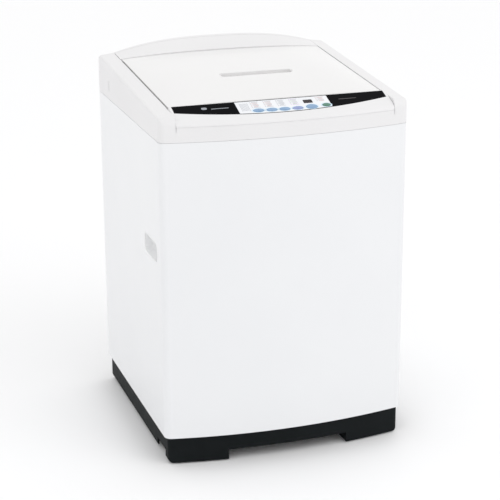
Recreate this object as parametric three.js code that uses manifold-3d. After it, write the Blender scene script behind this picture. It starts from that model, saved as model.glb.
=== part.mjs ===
// A compact top-loading washing machine: steel cabinet, plastic top cover with a domed lid and a
// sloping control console, a sprung tub with its basket and pulsator, and a black plastic base.
// Units are millimetres, +Z is up and the front faces -Y.
import * as THREE from 'three';
import { mergeVertices } from 'three/addons/utils/BufferGeometryUtils.js';
import Module from 'manifold-3d';

const wasm = await Module();
wasm.setup();

// Overall cabinet
const width = 610;
const sideDepth = 584; // rear face to the front corners
const frontBow = 34; // how far the front bulges ahead of its corners
const baseHeight = 69; // floor to the cabinet's lower edge
const seamHeight = 799; // joint between cabinet and top cover
const cornerRadius = 18;
const sheet = 1.5; // cabinet steel
const gap = 0.3; // between pieces that touch
// Top cover, rear cover and lid
const plastic = 3; // wall of the plastic covers
const edgeRear = seamHeight + 100; // height of the rails' inner edge at the rear
const edgeSlope = 39.9 / sideDepth; // fall of that edge per millimetre towards the front
const railFall = 5; // fall across a rail from its inner to its outer edge
const railRound = 5;
const railWidth = 38;
const lidGap = 4; // open joint between the lid and a rail
const rearCrest = seamHeight + 130; // top of the rear arch
const crestFromRear = 14;
const crestRound = 12;
const archPower = 2.6; // shape of the arch across the machine
const rearCoverFront = 20; // rear cover starts this far ahead of the rear face
const hingeFromRear = 84;
const hingeHeight = edgeRear - 10;
const hingeGap = 2.4; // open joint between the lid's rounded rear edge and the rear cover
const lidCrest = edgeRear + 7;
const lidCrestFromRear = 200;
const lidArcRadius = 2.45 * sideDepth; // radius of the lid's top from rear to front
const lidSkirt = 12;
const pinRadius = 2.4;
const deckHeight = seamHeight + 23;
const mouthDrop = 45;
const bandTop = seamHeight + 35; // front band of the top cover, below the console
const slitFromRear = 107; // upright slit in each side of the top cover
const slitLength = 29;
const slitDepth = 1.6;
// Console
const consoleBack = sideDepth - 57; // from the rear face
const consoleHeight = seamHeight + 70;
const consoleTilt = 19 * Math.PI / 180;
const lipDepth = 16;
const lipBase = bandTop + 3;
const panelDepth = 59; // down the slope, at the middle
const panelBow = 31; // how much shallower the panel is at its ends
const panelThick = 1.7;
const labelLeft = -110;
const labelRight = 116;
const labelThick = 0.5;
const labelInset = 2.5; // black border left round the label
const buttonTravel = 1.2;
const buttonTall = 9;
const buttons = [ // x, distance down the slope, half width, half height, colour
  [-63, 43.5, 13.2, 6.8, 0x5b8fc7],
  [-31, 44.8, 13.0, 6.8, 0x5b8fc7],
  [0, 45.8, 13.0, 6.8, 0x5b8fc7],
  [32, 46.3, 13.0, 6.6, 0x6a7fc4],
  [67, 44.8, 13.8, 9.2, 0x5b8fc7],
  [104, 42.5, 10.2, 6.8, 0x2e6b50],
];
const display = [64.5, 21.3, 10.8, 7]; // x, distance down the slope, half width, half height
// Grips for carrying
const gripFront = sideDepth - 39;
const gripRear = gripFront - 115;
const gripLow = 500;
const gripHigh = 548;
const gripDepth = 28;
// Base
const baseInset = 7;
const baseWall = 5;
const skirtFront = 27;
const skirtSide = 8;
const skirtEnd = sideDepth - 106; // the side skirt stops here, short of the front blocks
const blockRearEdge = sideDepth - 32;
const blockBottom = 3;
const rearBlockDepth = 90;
const padRadius = 15;
const stemRadius = 5;
const frontFoot = sideDepth - 13;
const rearFoot = 48;
// Tub, basket and drive
const tubRadius = 240;
const tubWall = 3.5;
const tubBottom = 190;
const tubTop = seamHeight - 84;
const basketRadius = tubRadius - 26;
const basketWall = 1;
const basketBottom = 215;
const basketTop = tubTop - 13;
const ringHeight = 30;
const pulsatorRadius = basketRadius - 46;
const pulsatorLow = basketBottom + 8;
const shaftRadius = 8;
const hubRadius = 16;
const running = 0.6; // radial clearance of turning pieces
const drivePulley = 75;
const motorPulley = 30;
const motorReach = 150; // from the drive shaft forward to the motor shaft
const motorRadius = 55;
const beltLow = 108;
const pulleyTall = 16;
const rodRadius = 4;
const springLow = 232;
const springHigh = 292;
const gussetHeight = seamHeight - 47;
// Water side
const portX = 38;
const portZ = deckHeight + 36;
const drainZ = seamHeight - 84;
const glandZ = seamHeight - 64;
const pumpFromRear = 150;
// Lid grip
const gripHalf = 92;
const lidGripRear = consoleBack - 177;
const lidGripFront = lidGripRear + 28;
const lidGripDeep = 16;

const above = rearCrest + 50; // clear of everything, for cuts
const depth = sideDepth + frontBow;
const halfWidth = width / 2;
const railInner = halfWidth - railWidth; // half distance between the two rails
const lidHalf = railInner - lidGap;
const consoleHalf = railInner - 1;
const panelHalf = railInner - 7;
const blockInner = halfWidth - 153;
const rearBlockInner = halfWidth - 95;
const footX = halfWidth - 70;
const drainX = halfWidth - 55;
const glandX = 65 - halfWidth;
const pumpX = halfWidth - 115;
const tubFromRear = sideDepth / 2 + 8;
const mouthRadius = basketRadius - 9;
const rodSpread = tubRadius - 25; // rods stand this far from the tub's axis in X and Y
const corners = [[-1, -1], [1, -1], [-1, 1], [1, 1]];
const feet = [[-footX, frontFoot], [footX, frontFoot], [-footX, rearFoot], [footX, rearFoot]];
const frontRadius = (halfWidth ** 2 + frontBow ** 2) / (2 * frontBow);
const fromRear = v => depth / 2 - v; // y of a point v ahead of the rear face
const tubY = fromRear(tubFromRear);
const frontAt = x => depth - frontRadius + Math.sqrt(frontRadius ** 2 - x ** 2); // v of the front face
const edgeLine = v => edgeRear - edgeSlope * v;
const slopeZ = v => consoleHeight - Math.tan(consoleTilt) * (v - consoleBack);
const slope = s => [consoleBack + 2 + s * Math.cos(consoleTilt),
  slopeZ(consoleBack + 2 + s * Math.cos(consoleTilt))];
const panelFront = x => panelDepth - panelBow * (x / panelHalf) ** 2;

function solid(geometry) {
  const bare = geometry.index ? geometry.toNonIndexed() : geometry.clone();
  bare.deleteAttribute('normal');
  bare.deleteAttribute('uv');
  const merged = mergeVertices(bare, 1e-4);
  return new wasm.Manifold(new wasm.Mesh({
    numProp: 3,
    vertProperties: Float32Array.from(merged.attributes.position.array),
    triVerts: Uint32Array.from(merged.index.array),
  }));
}

function geometryOf(body) {
  const mesh = body.getMesh();
  const geometry = new THREE.BufferGeometry();
  geometry.setAttribute('position', new THREE.BufferAttribute(mesh.vertProperties, 3));
  geometry.setIndex(new THREE.BufferAttribute(mesh.triVerts, 1));
  return geometry;
}

const join = (first, ...rest) => rest.reduce((a, b) => a.add(b), first);
const cut = (first, ...rest) => rest.reduce((a, b) => a.subtract(b), first);

function box(x0, x1, v0, v1, z0, z1) {
  const g = new THREE.BoxGeometry(x1 - x0, v1 - v0, z1 - z0);
  return solid(g.translate((x0 + x1) / 2, fromRear((v0 + v1) / 2), (z0 + z1) / 2));
}

function plate(points, z0, z1) {
  const g = new THREE.ExtrudeGeometry(new THREE.Shape(points), { depth: z1 - z0, bevelEnabled: false });
  return solid(g.translate(0, 0, z0));
}

function arc(cx, cy, r, a0, a1, steps) {
  return Array.from({ length: steps + 1 }, (_, i) => {
    const a = a0 + (a1 - a0) * i / steps;
    return new THREE.Vector2(cx + r * Math.cos(a), cy + r * Math.sin(a));
  });
}

// A tube or disc about a vertical axis, from [radius, height] pairs
function turned(profile, x, v, steps = 48) {
  const first = profile[0];
  const last = profile[profile.length - 1];
  const closed = first[0] === 0 || (first[0] === last[0] && first[1] === last[1]);
  const points = (closed ? profile : [...profile, first]).map(p => new THREE.Vector2(p[0], p[1]));
  if (THREE.ShapeUtils.area(points) < 0) points.reverse();
  const g = new THREE.LatheGeometry(points, steps);
  return solid(g.rotateX(Math.PI / 2).translate(x, fromRear(v), 0));
}

function rod(x, v, z0, z1, r, steps = 12) {
  return turned([[0, z0], [r, z0], [r, z1], [0, z1]], x, v, steps);
}

function crossRod(x0, x1, v, z, r, steps = 12) {
  const g = new THREE.CylinderGeometry(r, r, x1 - x0, steps);
  return solid(g.rotateZ(Math.PI / 2).translate((x0 + x1) / 2, fromRear(v), z));
}

function rearRod(x, v0, v1, z, r, steps = 14) {
  const g = new THREE.CylinderGeometry(r, r, v1 - v0, steps);
  return solid(g.translate(x, fromRear((v0 + v1) / 2), z));
}

// A block whose points are moved by place(s, t, top): s runs across, t from rear to front
function shaped(across, along, place) {
  const g = new THREE.BoxGeometry(1, 1, 1, across, along, 1);
  const p = g.attributes.position;
  for (let i = 0; i < p.count; i += 1) {
    const [x, v, z] = place(p.getX(i) + 0.5, 0.5 - p.getY(i), p.getZ(i) > 0);
    p.setXYZ(i, x, fromRear(v), z);
  }
  return solid(g);
}

// The cabinet's plan: straight rear and sides, rounded corners and a bowed front
function outline(inset, rearInset = inset, radius = cornerRadius - inset) {
  const r = Math.max(radius, 1);
  const side = halfWidth - inset;
  const big = frontRadius - inset;
  const centreY = fromRear(depth) + frontRadius;
  const cornerX = side - r;
  const cornerY = centreY - Math.sqrt((big - r) ** 2 - cornerX ** 2);
  const turn = Math.atan2(cornerX, centreY - cornerY);
  const down = -Math.PI / 2;
  return [
    new THREE.Vector2(side, fromRear(rearInset)),
    new THREE.Vector2(-side, fromRear(rearInset)),
    ...arc(-cornerX, cornerY, r, Math.PI, 1.5 * Math.PI - turn, 5),
    ...arc(0, centreY, big, down - turn, down + turn, 16).slice(1, -1),
    ...arc(cornerX, cornerY, r, down + turn, 0, 5),
  ];
}

const group = new THREE.Group();

function add(name, body, color, roughness, metalness = 0) {
  const material = new THREE.MeshStandardMaterial({ color, roughness, metalness });
  const mesh = new THREE.Mesh(geometryOf(body), material);
  mesh.name = name;
  group.add(mesh);
  return mesh;
}

const white = 0xf1f2f4;
const warmWhite = 0xf3f1f1;
const black = 0x10181a;
const steel = 0xb9bcc0;
const grey = 0x8b8f94;

function gripHole(side, grow) {
  const outer = side * (halfWidth + 5);
  const inner = side * (halfWidth - gripDepth - 5);
  return box(Math.min(outer, inner), Math.max(outer, inner),
    gripRear - grow, gripFront + grow, gripLow - grow, gripHigh + grow);
}

// Bent steel sheet: front and both sides in one, with rear flanges and a gusset in each corner
function cabinetWrap() {
  const low = baseHeight + gap;
  const high = seamHeight - gap;
  const flange = 24;
  let wrap = cut(plate(outline(0), low, high), plate(outline(sheet), low - 1, high + 1),
    box(flange - halfWidth, halfWidth - flange, -5, sheet + 1, low - 1, high + 1));
  const corner = plate(outline(sheet - 0.2), gussetHeight, gussetHeight + 2);
  for (const sx of [-1, 1]) {
    for (const sv of [-1, 1]) {
      const gusset = shapedGusset(sx, sv);
      wrap = join(wrap, corner.intersect(gusset));
      wrap = cut(wrap, rod(sx * rodSpread, tubFromRear + sv * rodSpread,
        gussetHeight - 20, gussetHeight + 20, rodRadius + 1));
    }
    wrap = cut(wrap, gripHole(sx, gap));
  }
  return wrap;
}

function shapedGusset(sx, sv) {
  const reach = 40;
  const x = sx * (rodSpread - reach / 2);
  const v = sv < 0 ? tubFromRear - rodSpread - reach / 2 : tubFromRear + rodSpread - reach / 2;
  const farX = sx * halfWidth;
  const rearSide = [x, farX].sort((a, b) => a - b);
  const span = sv < 0 ? [sheet + 3, tubFromRear - rodSpread + reach / 2] : [v, v + reach];
  return box(rearSide[0], rearSide[1], span[0], span[1], gussetHeight - 5, gussetHeight + 5);
}

function rearPanel() {
  const front = sheet + gap;
  let panel = box(gap + sheet - halfWidth, halfWidth - sheet - gap, front, front + sheet,
    baseHeight + 4, seamHeight - 4);
  panel = cut(panel, rearRod(drainX, -5, 10, drainZ, 19));
  return cut(panel, rearRod(glandX, -5, 10, glandZ, 9 + gap));
}

// Moulded base: a wall under the cabinet's edge, hollow foot blocks and a pan inside
function baseFrame() {
  const top = baseHeight;
  const ring = plate(outline(baseInset), blockBottom, top);
  const inner = plate(outline(baseInset + baseWall), blockBottom - 1, top + 1);
  let walls = cut(ring, inner);
  walls = cut(walls, box(-halfWidth, halfWidth, skirtEnd, depth + 5, 0, skirtFront + 1));
  walls = cut(walls, box(-halfWidth, halfWidth, -1, depth, 0, skirtSide));
  const pan = cut(plate(outline(baseInset + 1), 40, 43), box(-150, 150, 150, 480, 30, 50));
  const frontBlocks = ring.intersect(join(
    box(-halfWidth, -blockInner, blockRearEdge, depth + 5, blockBottom, top),
    box(blockInner, halfWidth, blockRearEdge, depth + 5, blockBottom, top)));
  const rearBlocks = ring.intersect(join(
    box(-halfWidth, -rearBlockInner, 0, rearBlockDepth, blockBottom, top),
    box(rearBlockInner, halfWidth, 0, rearBlockDepth, blockBottom, top)));
  let base = join(walls, pan, frontBlocks, rearBlocks);
  for (const [x, v] of feet) {
    base = cut(base, rod(x, v, blockBottom - 1, blockBottom + 8, padRadius + 1.5, 16));
    base = cut(base, rod(x, v, 0, top + 5, stemRadius + 0.5));
  }
  const hollow = { x0: blockInner + baseWall, v0: blockRearEdge + baseWall };
  const core = plate(outline(baseInset + baseWall), 18, top + 1);
  for (const s of [-1, 1]) {
    const xs = [s * hollow.x0, s * halfWidth].sort((a, b) => a - b);
    const wells = core.intersect(box(xs[0], xs[1], hollow.v0, depth, 18, top + 1));
    base = cut(base, cut(wells, rod(s * footX, frontFoot, 0, top + 2, 12)));
  }
  return base;
}

function foot(x, v) {
  const pad = turned([[0, 0], [padRadius - 1, 0], [padRadius, 1], [padRadius, 7], [stemRadius, 9],
    [stemRadius, 50], [0, 50]], x, v, 14);
  return pad;
}

// Height of a rail's top, rounded at the outer side and at the front
function railTop(x, v) {
  const out = Math.abs(x);
  const side = Math.max(halfWidth - out, 0);
  let z = edgeLine(v) - railFall * (out - railInner) / (halfWidth - railInner);
  if (side < railRound) z -= railRound - Math.sqrt(railRound ** 2 - (railRound - side) ** 2);
  return frontLip(x, v, z);
}

// Rounds a surface down to the front edge
function frontLip(x, v, z) {
  const d = Math.max(frontAt(x) - v, 0);
  if (d >= lipDepth) return z;
  return lipBase + (z - lipBase) * Math.sqrt(1 - (1 - d / lipDepth) ** 2);
}

// Height of the rear arch at its crest, then falling forward to the hinge line
function archTop(x, v) {
  const share = 1 - Math.min(Math.abs(x) / railInner, 1) ** archPower;
  const fall = Math.min(Math.max((v - crestFromRear) / (rearCoverEdge(0) - crestFromRear), 0), 1);
  const edge = edgeLine(Math.max(v, crestFromRear));
  const frontCrown = lidTop(0, hingeFromRear) + 1 - edgeLine(rearCoverEdge(0));
  const crown = (rearCrest - edgeLine(crestFromRear)) * (1 - fall) + frontCrown * fall;
  return edge + crown * share;
}

function rearArch(x, v) {
  const z = archTop(x, v);
  if (v >= crestRound) return z;
  return z - crestRound + Math.sqrt(crestRound ** 2 - (crestRound - v) ** 2);
}

const lidMiddle = v => lidCrest - (v - lidCrestFromRear) ** 2 / (2 * lidArcRadius);

function lidTop(x, v) {
  const travel = (v - hingeFromRear) / (consoleBack - hingeFromRear);
  const power = archPower + 4 * Math.max(travel, 0);
  return edgeLine(v) + (lidMiddle(v) - edgeLine(v)) * (1 - Math.min(Math.abs(x) / lidHalf, 1) ** power);
}

const barrel = x => lidTop(x, hingeFromRear) - hingeHeight; // radius of the lid's rear edge
const rearCoverEdge = x => hingeFromRear - barrel(x) - hingeGap;

// Side rails, front band, rear beam and the deck around the mouth, in one moulding
function topCover() {
  const low = seamHeight;
  const ease = s => 1 - (1 - s) ** 1.7;
  const rail = (side, drop, inner, bottom) => shaped(6, 9, (s, t, top) => {
    const share = side > 0 ? s : 1 - s;
    const x = side * (inner + (halfWidth - inner) * ease(share));
    const v = depth * ease(t);
    return [x, v, top ? Math.min(railTop(x, v), rearRound(v, x)) - drop : bottom];
  });
  const plan = plate(outline(0), low - 20, rearCrest + 20);
  const core = plate(outline(plastic), low - 20, rearCrest + 20);
  const band = box(-halfWidth, halfWidth, consoleBack - 20, depth, low, bandTop);
  const beam = shaped(18, 3, (s, t, top) => {
    const x = (2 * s - 1) * railInner;
    const v = (rearCoverFront - gap) * t;
    return [x, v, top ? rearArch(x, v) : low];
  });
  const beamCore = shaped(18, 2, (s, t, top) => {
    const x = (2 * s - 1) * (railInner + 1);
    const v = plastic + (rearCoverFront - gap - 2 * plastic) * t;
    return [x, v, top ? rearArch(x, Math.max(v, crestFromRear)) - plastic : low - 5];
  });
  let cover = join(rail(-1, 0, railInner, low), rail(1, 0, railInner, low), band, beam);
  const bandCore = box(-halfWidth, halfWidth, consoleBack - 20 + plastic, depth, low - 5, bandTop - plastic);
  const hollows = join(rail(-1, plastic, railInner + plastic, low - 5),
    rail(1, plastic, railInner + plastic, low - 5), bandCore).intersect(core);
  cover = cut(cover.intersect(plan), hollows, beamCore);
  const deck = box(-railInner - 1, railInner + 1, rearCoverFront - 2, consoleBack - 18,
    deckHeight - plastic, deckHeight);
  const funnel = turned([[mouthRadius - plastic, deckHeight - mouthDrop], [mouthRadius, deckHeight - mouthDrop],
    [mouthRadius + 8, deckHeight - 1], [mouthRadius - plastic, deckHeight - 1]], 0, tubFromRear, 32);
  cover = join(cover, deck, funnel);
  cover = cut(cover, rod(0, tubFromRear, seamHeight - 100, above, mouthRadius - plastic, 32));
  for (const side of [-1, 1]) {
    const xs = [side * (halfWidth - slitDepth), side * (halfWidth + 5)].sort((a, b) => a - b);
    cover = cut(cover, box(xs[0], xs[1], slitFromRear - 1.5, slitFromRear + 1.5, deckHeight - 4, deckHeight - 4 + slitLength));
    cover = cut(cover, crossRod(...[side * (railInner - 5), side * (railInner + 12)].sort((a, b) => a - b),
      hingeFromRear, hingeHeight, pinRadius + gap));
    cover = cut(cover, rearRod(side * portX, -5, 40, portZ, 14));
  }
  return cover;
}

const rearRound = (v, x) => (v >= crestRound ? Infinity
  : railTop(x, v) - crestRound + Math.sqrt(crestRound ** 2 - (crestRound - v) ** 2));
function rearCover() {
  const half = consoleHalf;
  const block = (inset, drop, bottom) => shaped(16, 3, (s, t, top) => {
    const x = (2 * s - 1) * (half - inset);
    const from = rearCoverFront + inset;
    const v = from + (rearCoverEdge(x) - inset * 2 - from) * t;
    return [x, v, archTop(x, v) - (top ? drop : bottom)];
  });
  return cut(block(0, 0, 9), block(2.5, 2.5, 20));
}

// Domed shell with a skirt, rounded about its hinge line at the rear and open under the grip
function lid() {
  const front = consoleBack - 2;
  const block = (inset, drop, bottom) => shaped(14, 10, (s, t, top) => {
    const x = (2 * s - 1) * (lidHalf - inset);
    const r = barrel(x);
    const from = hingeFromRear - r + inset;
    const v = t < 0.2 ? from + (r - inset) * Math.sin(t / 0.2 * Math.PI / 2) ** 2
      : hingeFromRear + (front - inset - hingeFromRear) * (t - 0.2) / 0.8;
    const back = Math.max(hingeFromRear - v, 0);
    const z = back > 0 ? hingeHeight + Math.sqrt(Math.max(r * r - back * back, 0)) : lidTop(x, v);
    const flat = back > 0 ? hingeHeight - 2 : lidTop(x, v) - lidSkirt;
    return [x, v, top ? z - drop : Math.min(z - 0.5, Math.max(flat, z - lidSkirt)) - bottom];
  });
  let shell = cut(block(0, 0, 0), block(plastic, plastic, 15).subtract(
    box(-lidHalf, lidHalf, 0, hingeFromRear + 8, seamHeight, above)));
  shell = cut(shell, box(-gripHalf, gripHalf, lidGripRear, lidGripFront, seamHeight, above));
  for (const side of [-1, 1]) {
    const xs = [side * (lidHalf - 9), side * (lidHalf + 5)].sort((a, b) => a - b);
    shell = cut(shell, crossRod(xs[0], xs[1], hingeFromRear, hingeHeight, pinRadius + gap));
  }
  return shell;
}

// Finger cup that fills the opening in the lid
function lidGrip() {
  const wall = 1.8;
  const low = lidMiddle(lidGripFront) - lidGripDeep;
  const x = gripHalf - gap;
  const cup = shaped(16, 4, (s, t, top) => {
    const px = (2 * s - 1) * x;
    const v = lidGripRear + gap + (lidGripFront - lidGripRear - 2 * gap) * t;
    return [px, v, top ? lidTop(px, v) - 0.2 : low];
  });
  return cut(cup, box(wall - x, x - wall, lidGripRear + gap + wall, lidGripFront - gap - wall, low + wall, above));
}

function hingePin(side) {
  const xs = [side * (lidHalf - 8), side * (railInner + 8)].sort((a, b) => a - b);
  return crossRod(xs[0], xs[1], hingeFromRear, hingeHeight, pinRadius);
}

function bumper(side) {
  const x = side * (lidHalf - 25);
  const v = consoleBack - 14;
  const high = lidTop(x, v) - plastic - 1;
  return turned([[0, high - 14], [5, high - 14], [6, high - 12], [6, high - 1], [0, high - 1]], x, v, 16);
}

// Panel-shaped block on the console's slope, from depth a below the slope to depth b
function slab(x0, x1, s0, sEnd, a, b, across = 14) {
  return shaped(across, 1, (s, t, top) => {
    const x = x0 + (x1 - x0) * s;
    const [v, z] = slope(s0 + (sEnd(x) - s0) * t);
    return [x, v, z - (top ? a : b)];
  });
}

// Upright oval or rectangular prism, square to the console's slope
function onSlope(points, s, a, b) {
  const [v, z] = slope(s);
  const g = new THREE.ExtrudeGeometry(new THREE.Shape(points), { depth: b - a, bevelEnabled: false });
  return solid(g.translate(0, 0, -b).rotateX(consoleTilt).translate(0, fromRear(v), z));
}

function oval(x, halfX, halfY, grow) {
  return Array.from({ length: ovalSides }, (_, i) => {
    const a = i / ovalSides * 2 * Math.PI;
    return new THREE.Vector2(x + (halfX + grow) * Math.cos(a), (halfY + grow) * Math.sin(a));
  });
}

const ovalSides = 12;

const oblong = (x, hx, hy) => [[-hx, -hy], [hx, -hy], [hx, hy], [-hx, hy]]
  .map(p => new THREE.Vector2(x + p[0], p[1]));

function cutButtons(body, grow) {
  return buttons.reduce((b, [x, s, hx, hy]) => b.subtract(onSlope(oval(x, hx, hy, grow), s, -5, 20)), body);
}

function controlConsole() {
  const half = consoleHalf;
  const block = (inset, drop, bottom) => shaped(16, 6, (s, t, top) => {
    const x = (2 * s - 1) * (half - inset);
    const ease = 1 - (1 - t) ** 1.6;
    const v = consoleBack + inset + (frontAt(x) - 2 * inset - consoleBack) * ease;
    const z = frontLip(x, v + (inset ? inset : 0), slopeZ(v));
    return [x, v, top ? Math.max(z - drop, bottom + 0.2) : bottom];
  });
  let body = cut(block(0, 0, bandTop + gap), block(plastic, plastic + 2, bandTop - 5));
  body = cut(body, slab(-panelHalf - gap, panelHalf + gap, -gap, x => panelFront(x) + gap, -5, panelThick + gap));
  body = cutButtons(body, gap + 0.2);
  return cut(body, onSlope(oblong(display[0], display[2] + 1, display[3] + 1), display[1], -5, 20));
}

function panelOverlay() {
  const plateSlab = slab(-panelHalf, panelHalf, 0, panelFront, 0, panelThick);
  const pocket = slab(labelLeft - gap, labelRight + gap, labelInset - gap,
    x => panelFront(x) - labelInset + gap, -5, labelThick + gap, 8);
  const holed = cutButtons(cut(plateSlab, pocket), gap);
  return cut(holed, onSlope(oblong(display[0], display[2] + gap, display[3] + gap), display[1], -5, 20));
}

function panelLabel() {
  const sheetSlab = slab(labelLeft, labelRight, labelInset, x => panelFront(x) - labelInset, 0, labelThick, 8);
  const holed = cutButtons(sheetSlab, gap);
  return cut(holed, onSlope(oblong(display[0], display[2] + gap, display[3] + gap), display[1], -5, 20));
}

const displayWindow = () => onSlope(oblong(display[0], display[2], display[3]), display[1], -0.2, 3);

function controlBoard() {
  const s = 28;
  const under = buttonTall + buttonTravel + 0.6;
  return onSlope(oblong(3, 118, 22), s, under, under + 1.6);
}

const button = ([x, s, hx, hy]) => onSlope(oval(x, hx, hy, 0), s, -1.4, buttonTall - 1.4);

function sideGrip(side) {
  const wall = 2.2;
  const outer = side * halfWidth;
  const inner = side * (halfWidth - gripDepth);
  const span = (a, b) => [a, b].sort((m, n) => m - n);
  const cup = box(...span(outer, inner), gripRear, gripFront, gripLow, gripHigh);
  const lipRing = box(...span(side * (halfWidth - sheet - gap), side * (halfWidth - sheet - gap - 2)),
    gripRear - 7, gripFront + 7, gripLow - 7, gripHigh + 7);
  const room = box(...span(side * (halfWidth + 5), inner + side * wall),
    gripRear + wall, gripFront - wall, gripLow + wall, gripHigh - wall);
  return cut(join(cup, lipRing), room);
}

// Water side
function inletValve() {
  const body = box(-portX - 22, portX + 22, 24, 50, portZ - 20, portZ + 16);
  const ports = [-1, 1].map(side => rearRod(side * portX, 1, 30, portZ, 12.5));
  const bores = [-1, 1].map(side => rearRod(side * portX, -5, 22, portZ, 9));
  return cut(join(body, ...ports), ...bores);
}

function fillSpout() {
  const high = portZ - 10;
  const spout = box(-30, 30, 50 + gap, 108, deckHeight + gap, high - 8);
  return cut(spout, box(-27, 27, 53 + gap, 120, deckHeight + 3, high - 11));
}

function drainPump() {
  const cup = turned([[8, 43 + gap], [44, 43 + gap], [44, 80], [14, 80], [14, 96], [11, 96], [11, 77],
    [41, 77], [41, 46.5], [8, 46.5], [8, 43 + gap]], pumpX, pumpFromRear, 18);
  return cup;
}

function pumpImpeller() {
  const disc = turned([[0, 50], [30, 50], [30, 52], [0, 52]], pumpX, pumpFromRear, 24);
  let body = join(disc, rod(pumpX, pumpFromRear, 47, 70, 5, 16));
  for (let i = 0; i < 6; i += 1) {
    const g = new THREE.BoxGeometry(26, 2, 18).translate(16, 0, 0).rotateZ(i * Math.PI / 3);
    body = join(body, solid(g.translate(pumpX, fromRear(pumpFromRear), 60)));
  }
  return body;
}

// Hose held inside the rear right corner, from the pump up to the outlet
function drainHose() {
  const start = pumpX + 44 + 2 * gap;
  const side = halfWidth - 34;
  const route = [[start, pumpFromRear, 62], [start + 8, pumpFromRear, 62], [side - 7, 136, 70],
    [side, 100, 100], [side, 60, 150], [side, 42, 220], [side, 36, 400], [side - 1, 36, drainZ - 155],
    [side - 6, 44, drainZ - 55], [drainX + 4, 44, drainZ - 15], [drainX, 34, drainZ], [drainX, 27, drainZ], [drainX, 20 + gap, drainZ]];
  const curve = new THREE.CatmullRomCurve3(route.map(([x, v, z]) => new THREE.Vector3(x, fromRear(v), z)));
  const section = new THREE.Shape(arc(0, 0, 11, 0, 2 * Math.PI * 7 / 8, 7));
  return solid(new THREE.ExtrudeGeometry(section, { steps: 26, extrudePath: curve }));
}

function drainPort() {
  const tube = cut(join(rearRod(drainX, 0.5, 20, drainZ, 17), rearRod(drainX, 3.6, 6, drainZ, 26)),
    rearRod(drainX, -5, 25, drainZ, 12));
  return tube;
}

function cordGland() {
  const bush = join(rearRod(glandX, 0.5, 14, glandZ, 9), rearRod(glandX, 3.6, 7, glandZ, 14));
  return cut(bush, rearRod(glandX, -5, 20, glandZ, 4));
}

const lidSwitch = () => box(railInner - 39, railInner - 9, 96, 122, deckHeight + gap, deckHeight + 40);

// Tub side
function outerTub() {
  const r = tubRadius;
  const shell = turned([[26, tubBottom], [r - 20, tubBottom], [r, tubBottom + 22], [r, tubTop], [r + 8, tubTop],
    [r + 8, tubTop + 4], [r - tubWall, tubTop + 4], [r - tubWall, tubBottom + 24],
    [r - 22, tubBottom + tubWall], [26, tubBottom + tubWall], [26, tubBottom]], 0, tubFromRear, 28);
  let tub = shell;
  for (const [sx, sv] of corners) {
    const arm = new THREE.BoxGeometry(84, 30, 14).translate(r + 34, 0, 0).rotateZ(Math.atan2(-sv, sx));
    const lug = solid(arm.translate(0, tubY, springHigh + 8));
    tub = join(tub, lug);
    tub = cut(tub, rod(sx * rodSpread, tubFromRear + sv * rodSpread,
      springHigh - 20, springHigh + 40, rodRadius + 1.5));
  }
  return cut(tub, rod(150, tubFromRear - 100, 150, tubBottom + 10, 14));
}

function tubRing() {
  const r = tubRadius;
  const low = tubTop + 4 + gap;
  return turned([[r - 42, low + 18], [r - 42, low + 21], [r - 6, low + 21], [r + 9, low + 6], [r + 11, low + 2],
    [r + 11, low - 12], [r + 8.6, low - 12], [r + 8.6, low], [r - 8, low], [r - 8, low + 18],
    [r - 42, low + 18]], 0, tubFromRear, 28);
}

function sumpBoot() {
  return turned([[11, 150], [16, 150], [16, tubBottom - 4], [20, tubBottom - 4], [20, tubBottom - gap],
    [11, tubBottom - gap], [11, 150]], 150, tubFromRear - 100, 20);
}

function gearcase() {
  const bore = hubRadius + running;
  return turned([[bore, 132], [44, 132], [48, 138], [48, 176], [70, 176], [70, tubBottom - gap],
    [bore, tubBottom - gap], [bore, 132]], 0, tubFromRear, 28);
}

function motorBody() {
  const v = tubFromRear + motorReach;
  const bore = 7 + running;
  return turned([[bore, 130], [motorRadius - 8, 130], [motorRadius, 136], [motorRadius, 172],
    [motorRadius - 8, 178], [bore, 178], [bore, 130]], 0, v, 24);
}

function motorBracket() {
  const v = tubFromRear + motorReach;
  const plateBody = box(-62, 62, tubFromRear + 72, v + 62, 178 + gap, 182);
  return cut(plateBody, rod(0, v, 100, 200, 12));
}

function motorShaft() {
  const v = tubFromRear + motorReach;
  const r = motorPulley;
  const top = beltLow + pulleyTall;
  return turned([[0, 100], [7, 100], [7, beltLow], [r + 3, beltLow], [r, beltLow + 3], [r, top - 3], [r + 3, top],
    [7, top], [7, 174], [0, 174]], 0, v, 18);
}

function driveBelt() {
  const loop = grow => {
    const tilt = Math.asin((drivePulley - motorPulley) / motorReach);
    const near = arc(0, tubY, drivePulley + grow, -tilt, Math.PI + tilt, 24);
    const far = arc(0, tubY - motorReach, motorPulley + grow, Math.PI + tilt, 2 * Math.PI - tilt, 12);
    return [...near, ...far];
  };
  return cut(plate(loop(4.5), beltLow + 4, beltLow + pulleyTall - 4),
    plate(loop(2 * gap), beltLow, beltLow + pulleyTall));
}

function washBasket() {
  const r = basketRadius;
  const w = basketWall;
  return turned([[12, basketBottom], [r - 26, basketBottom], [r, basketBottom + 28], [r, basketTop],
    [r - w, basketTop], [r - w, basketBottom + 28.6], [r - 26.6, basketBottom + w], [12, basketBottom + w],
    [12, basketBottom]], 0, tubFromRear, 28);
}

function balanceRing() {
  const r = basketRadius;
  const low = basketTop + gap;
  return turned([[r - 22, low + 4], [r - 18, low], [r, low], [r + 3, low + 4], [r + 3, low + ringHeight - 4],
    [r, low + ringHeight], [r - 16, low + ringHeight], [r - 22, low + ringHeight - 6], [r - 22, low + 4]],
  0, tubFromRear, 28);
}

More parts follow.
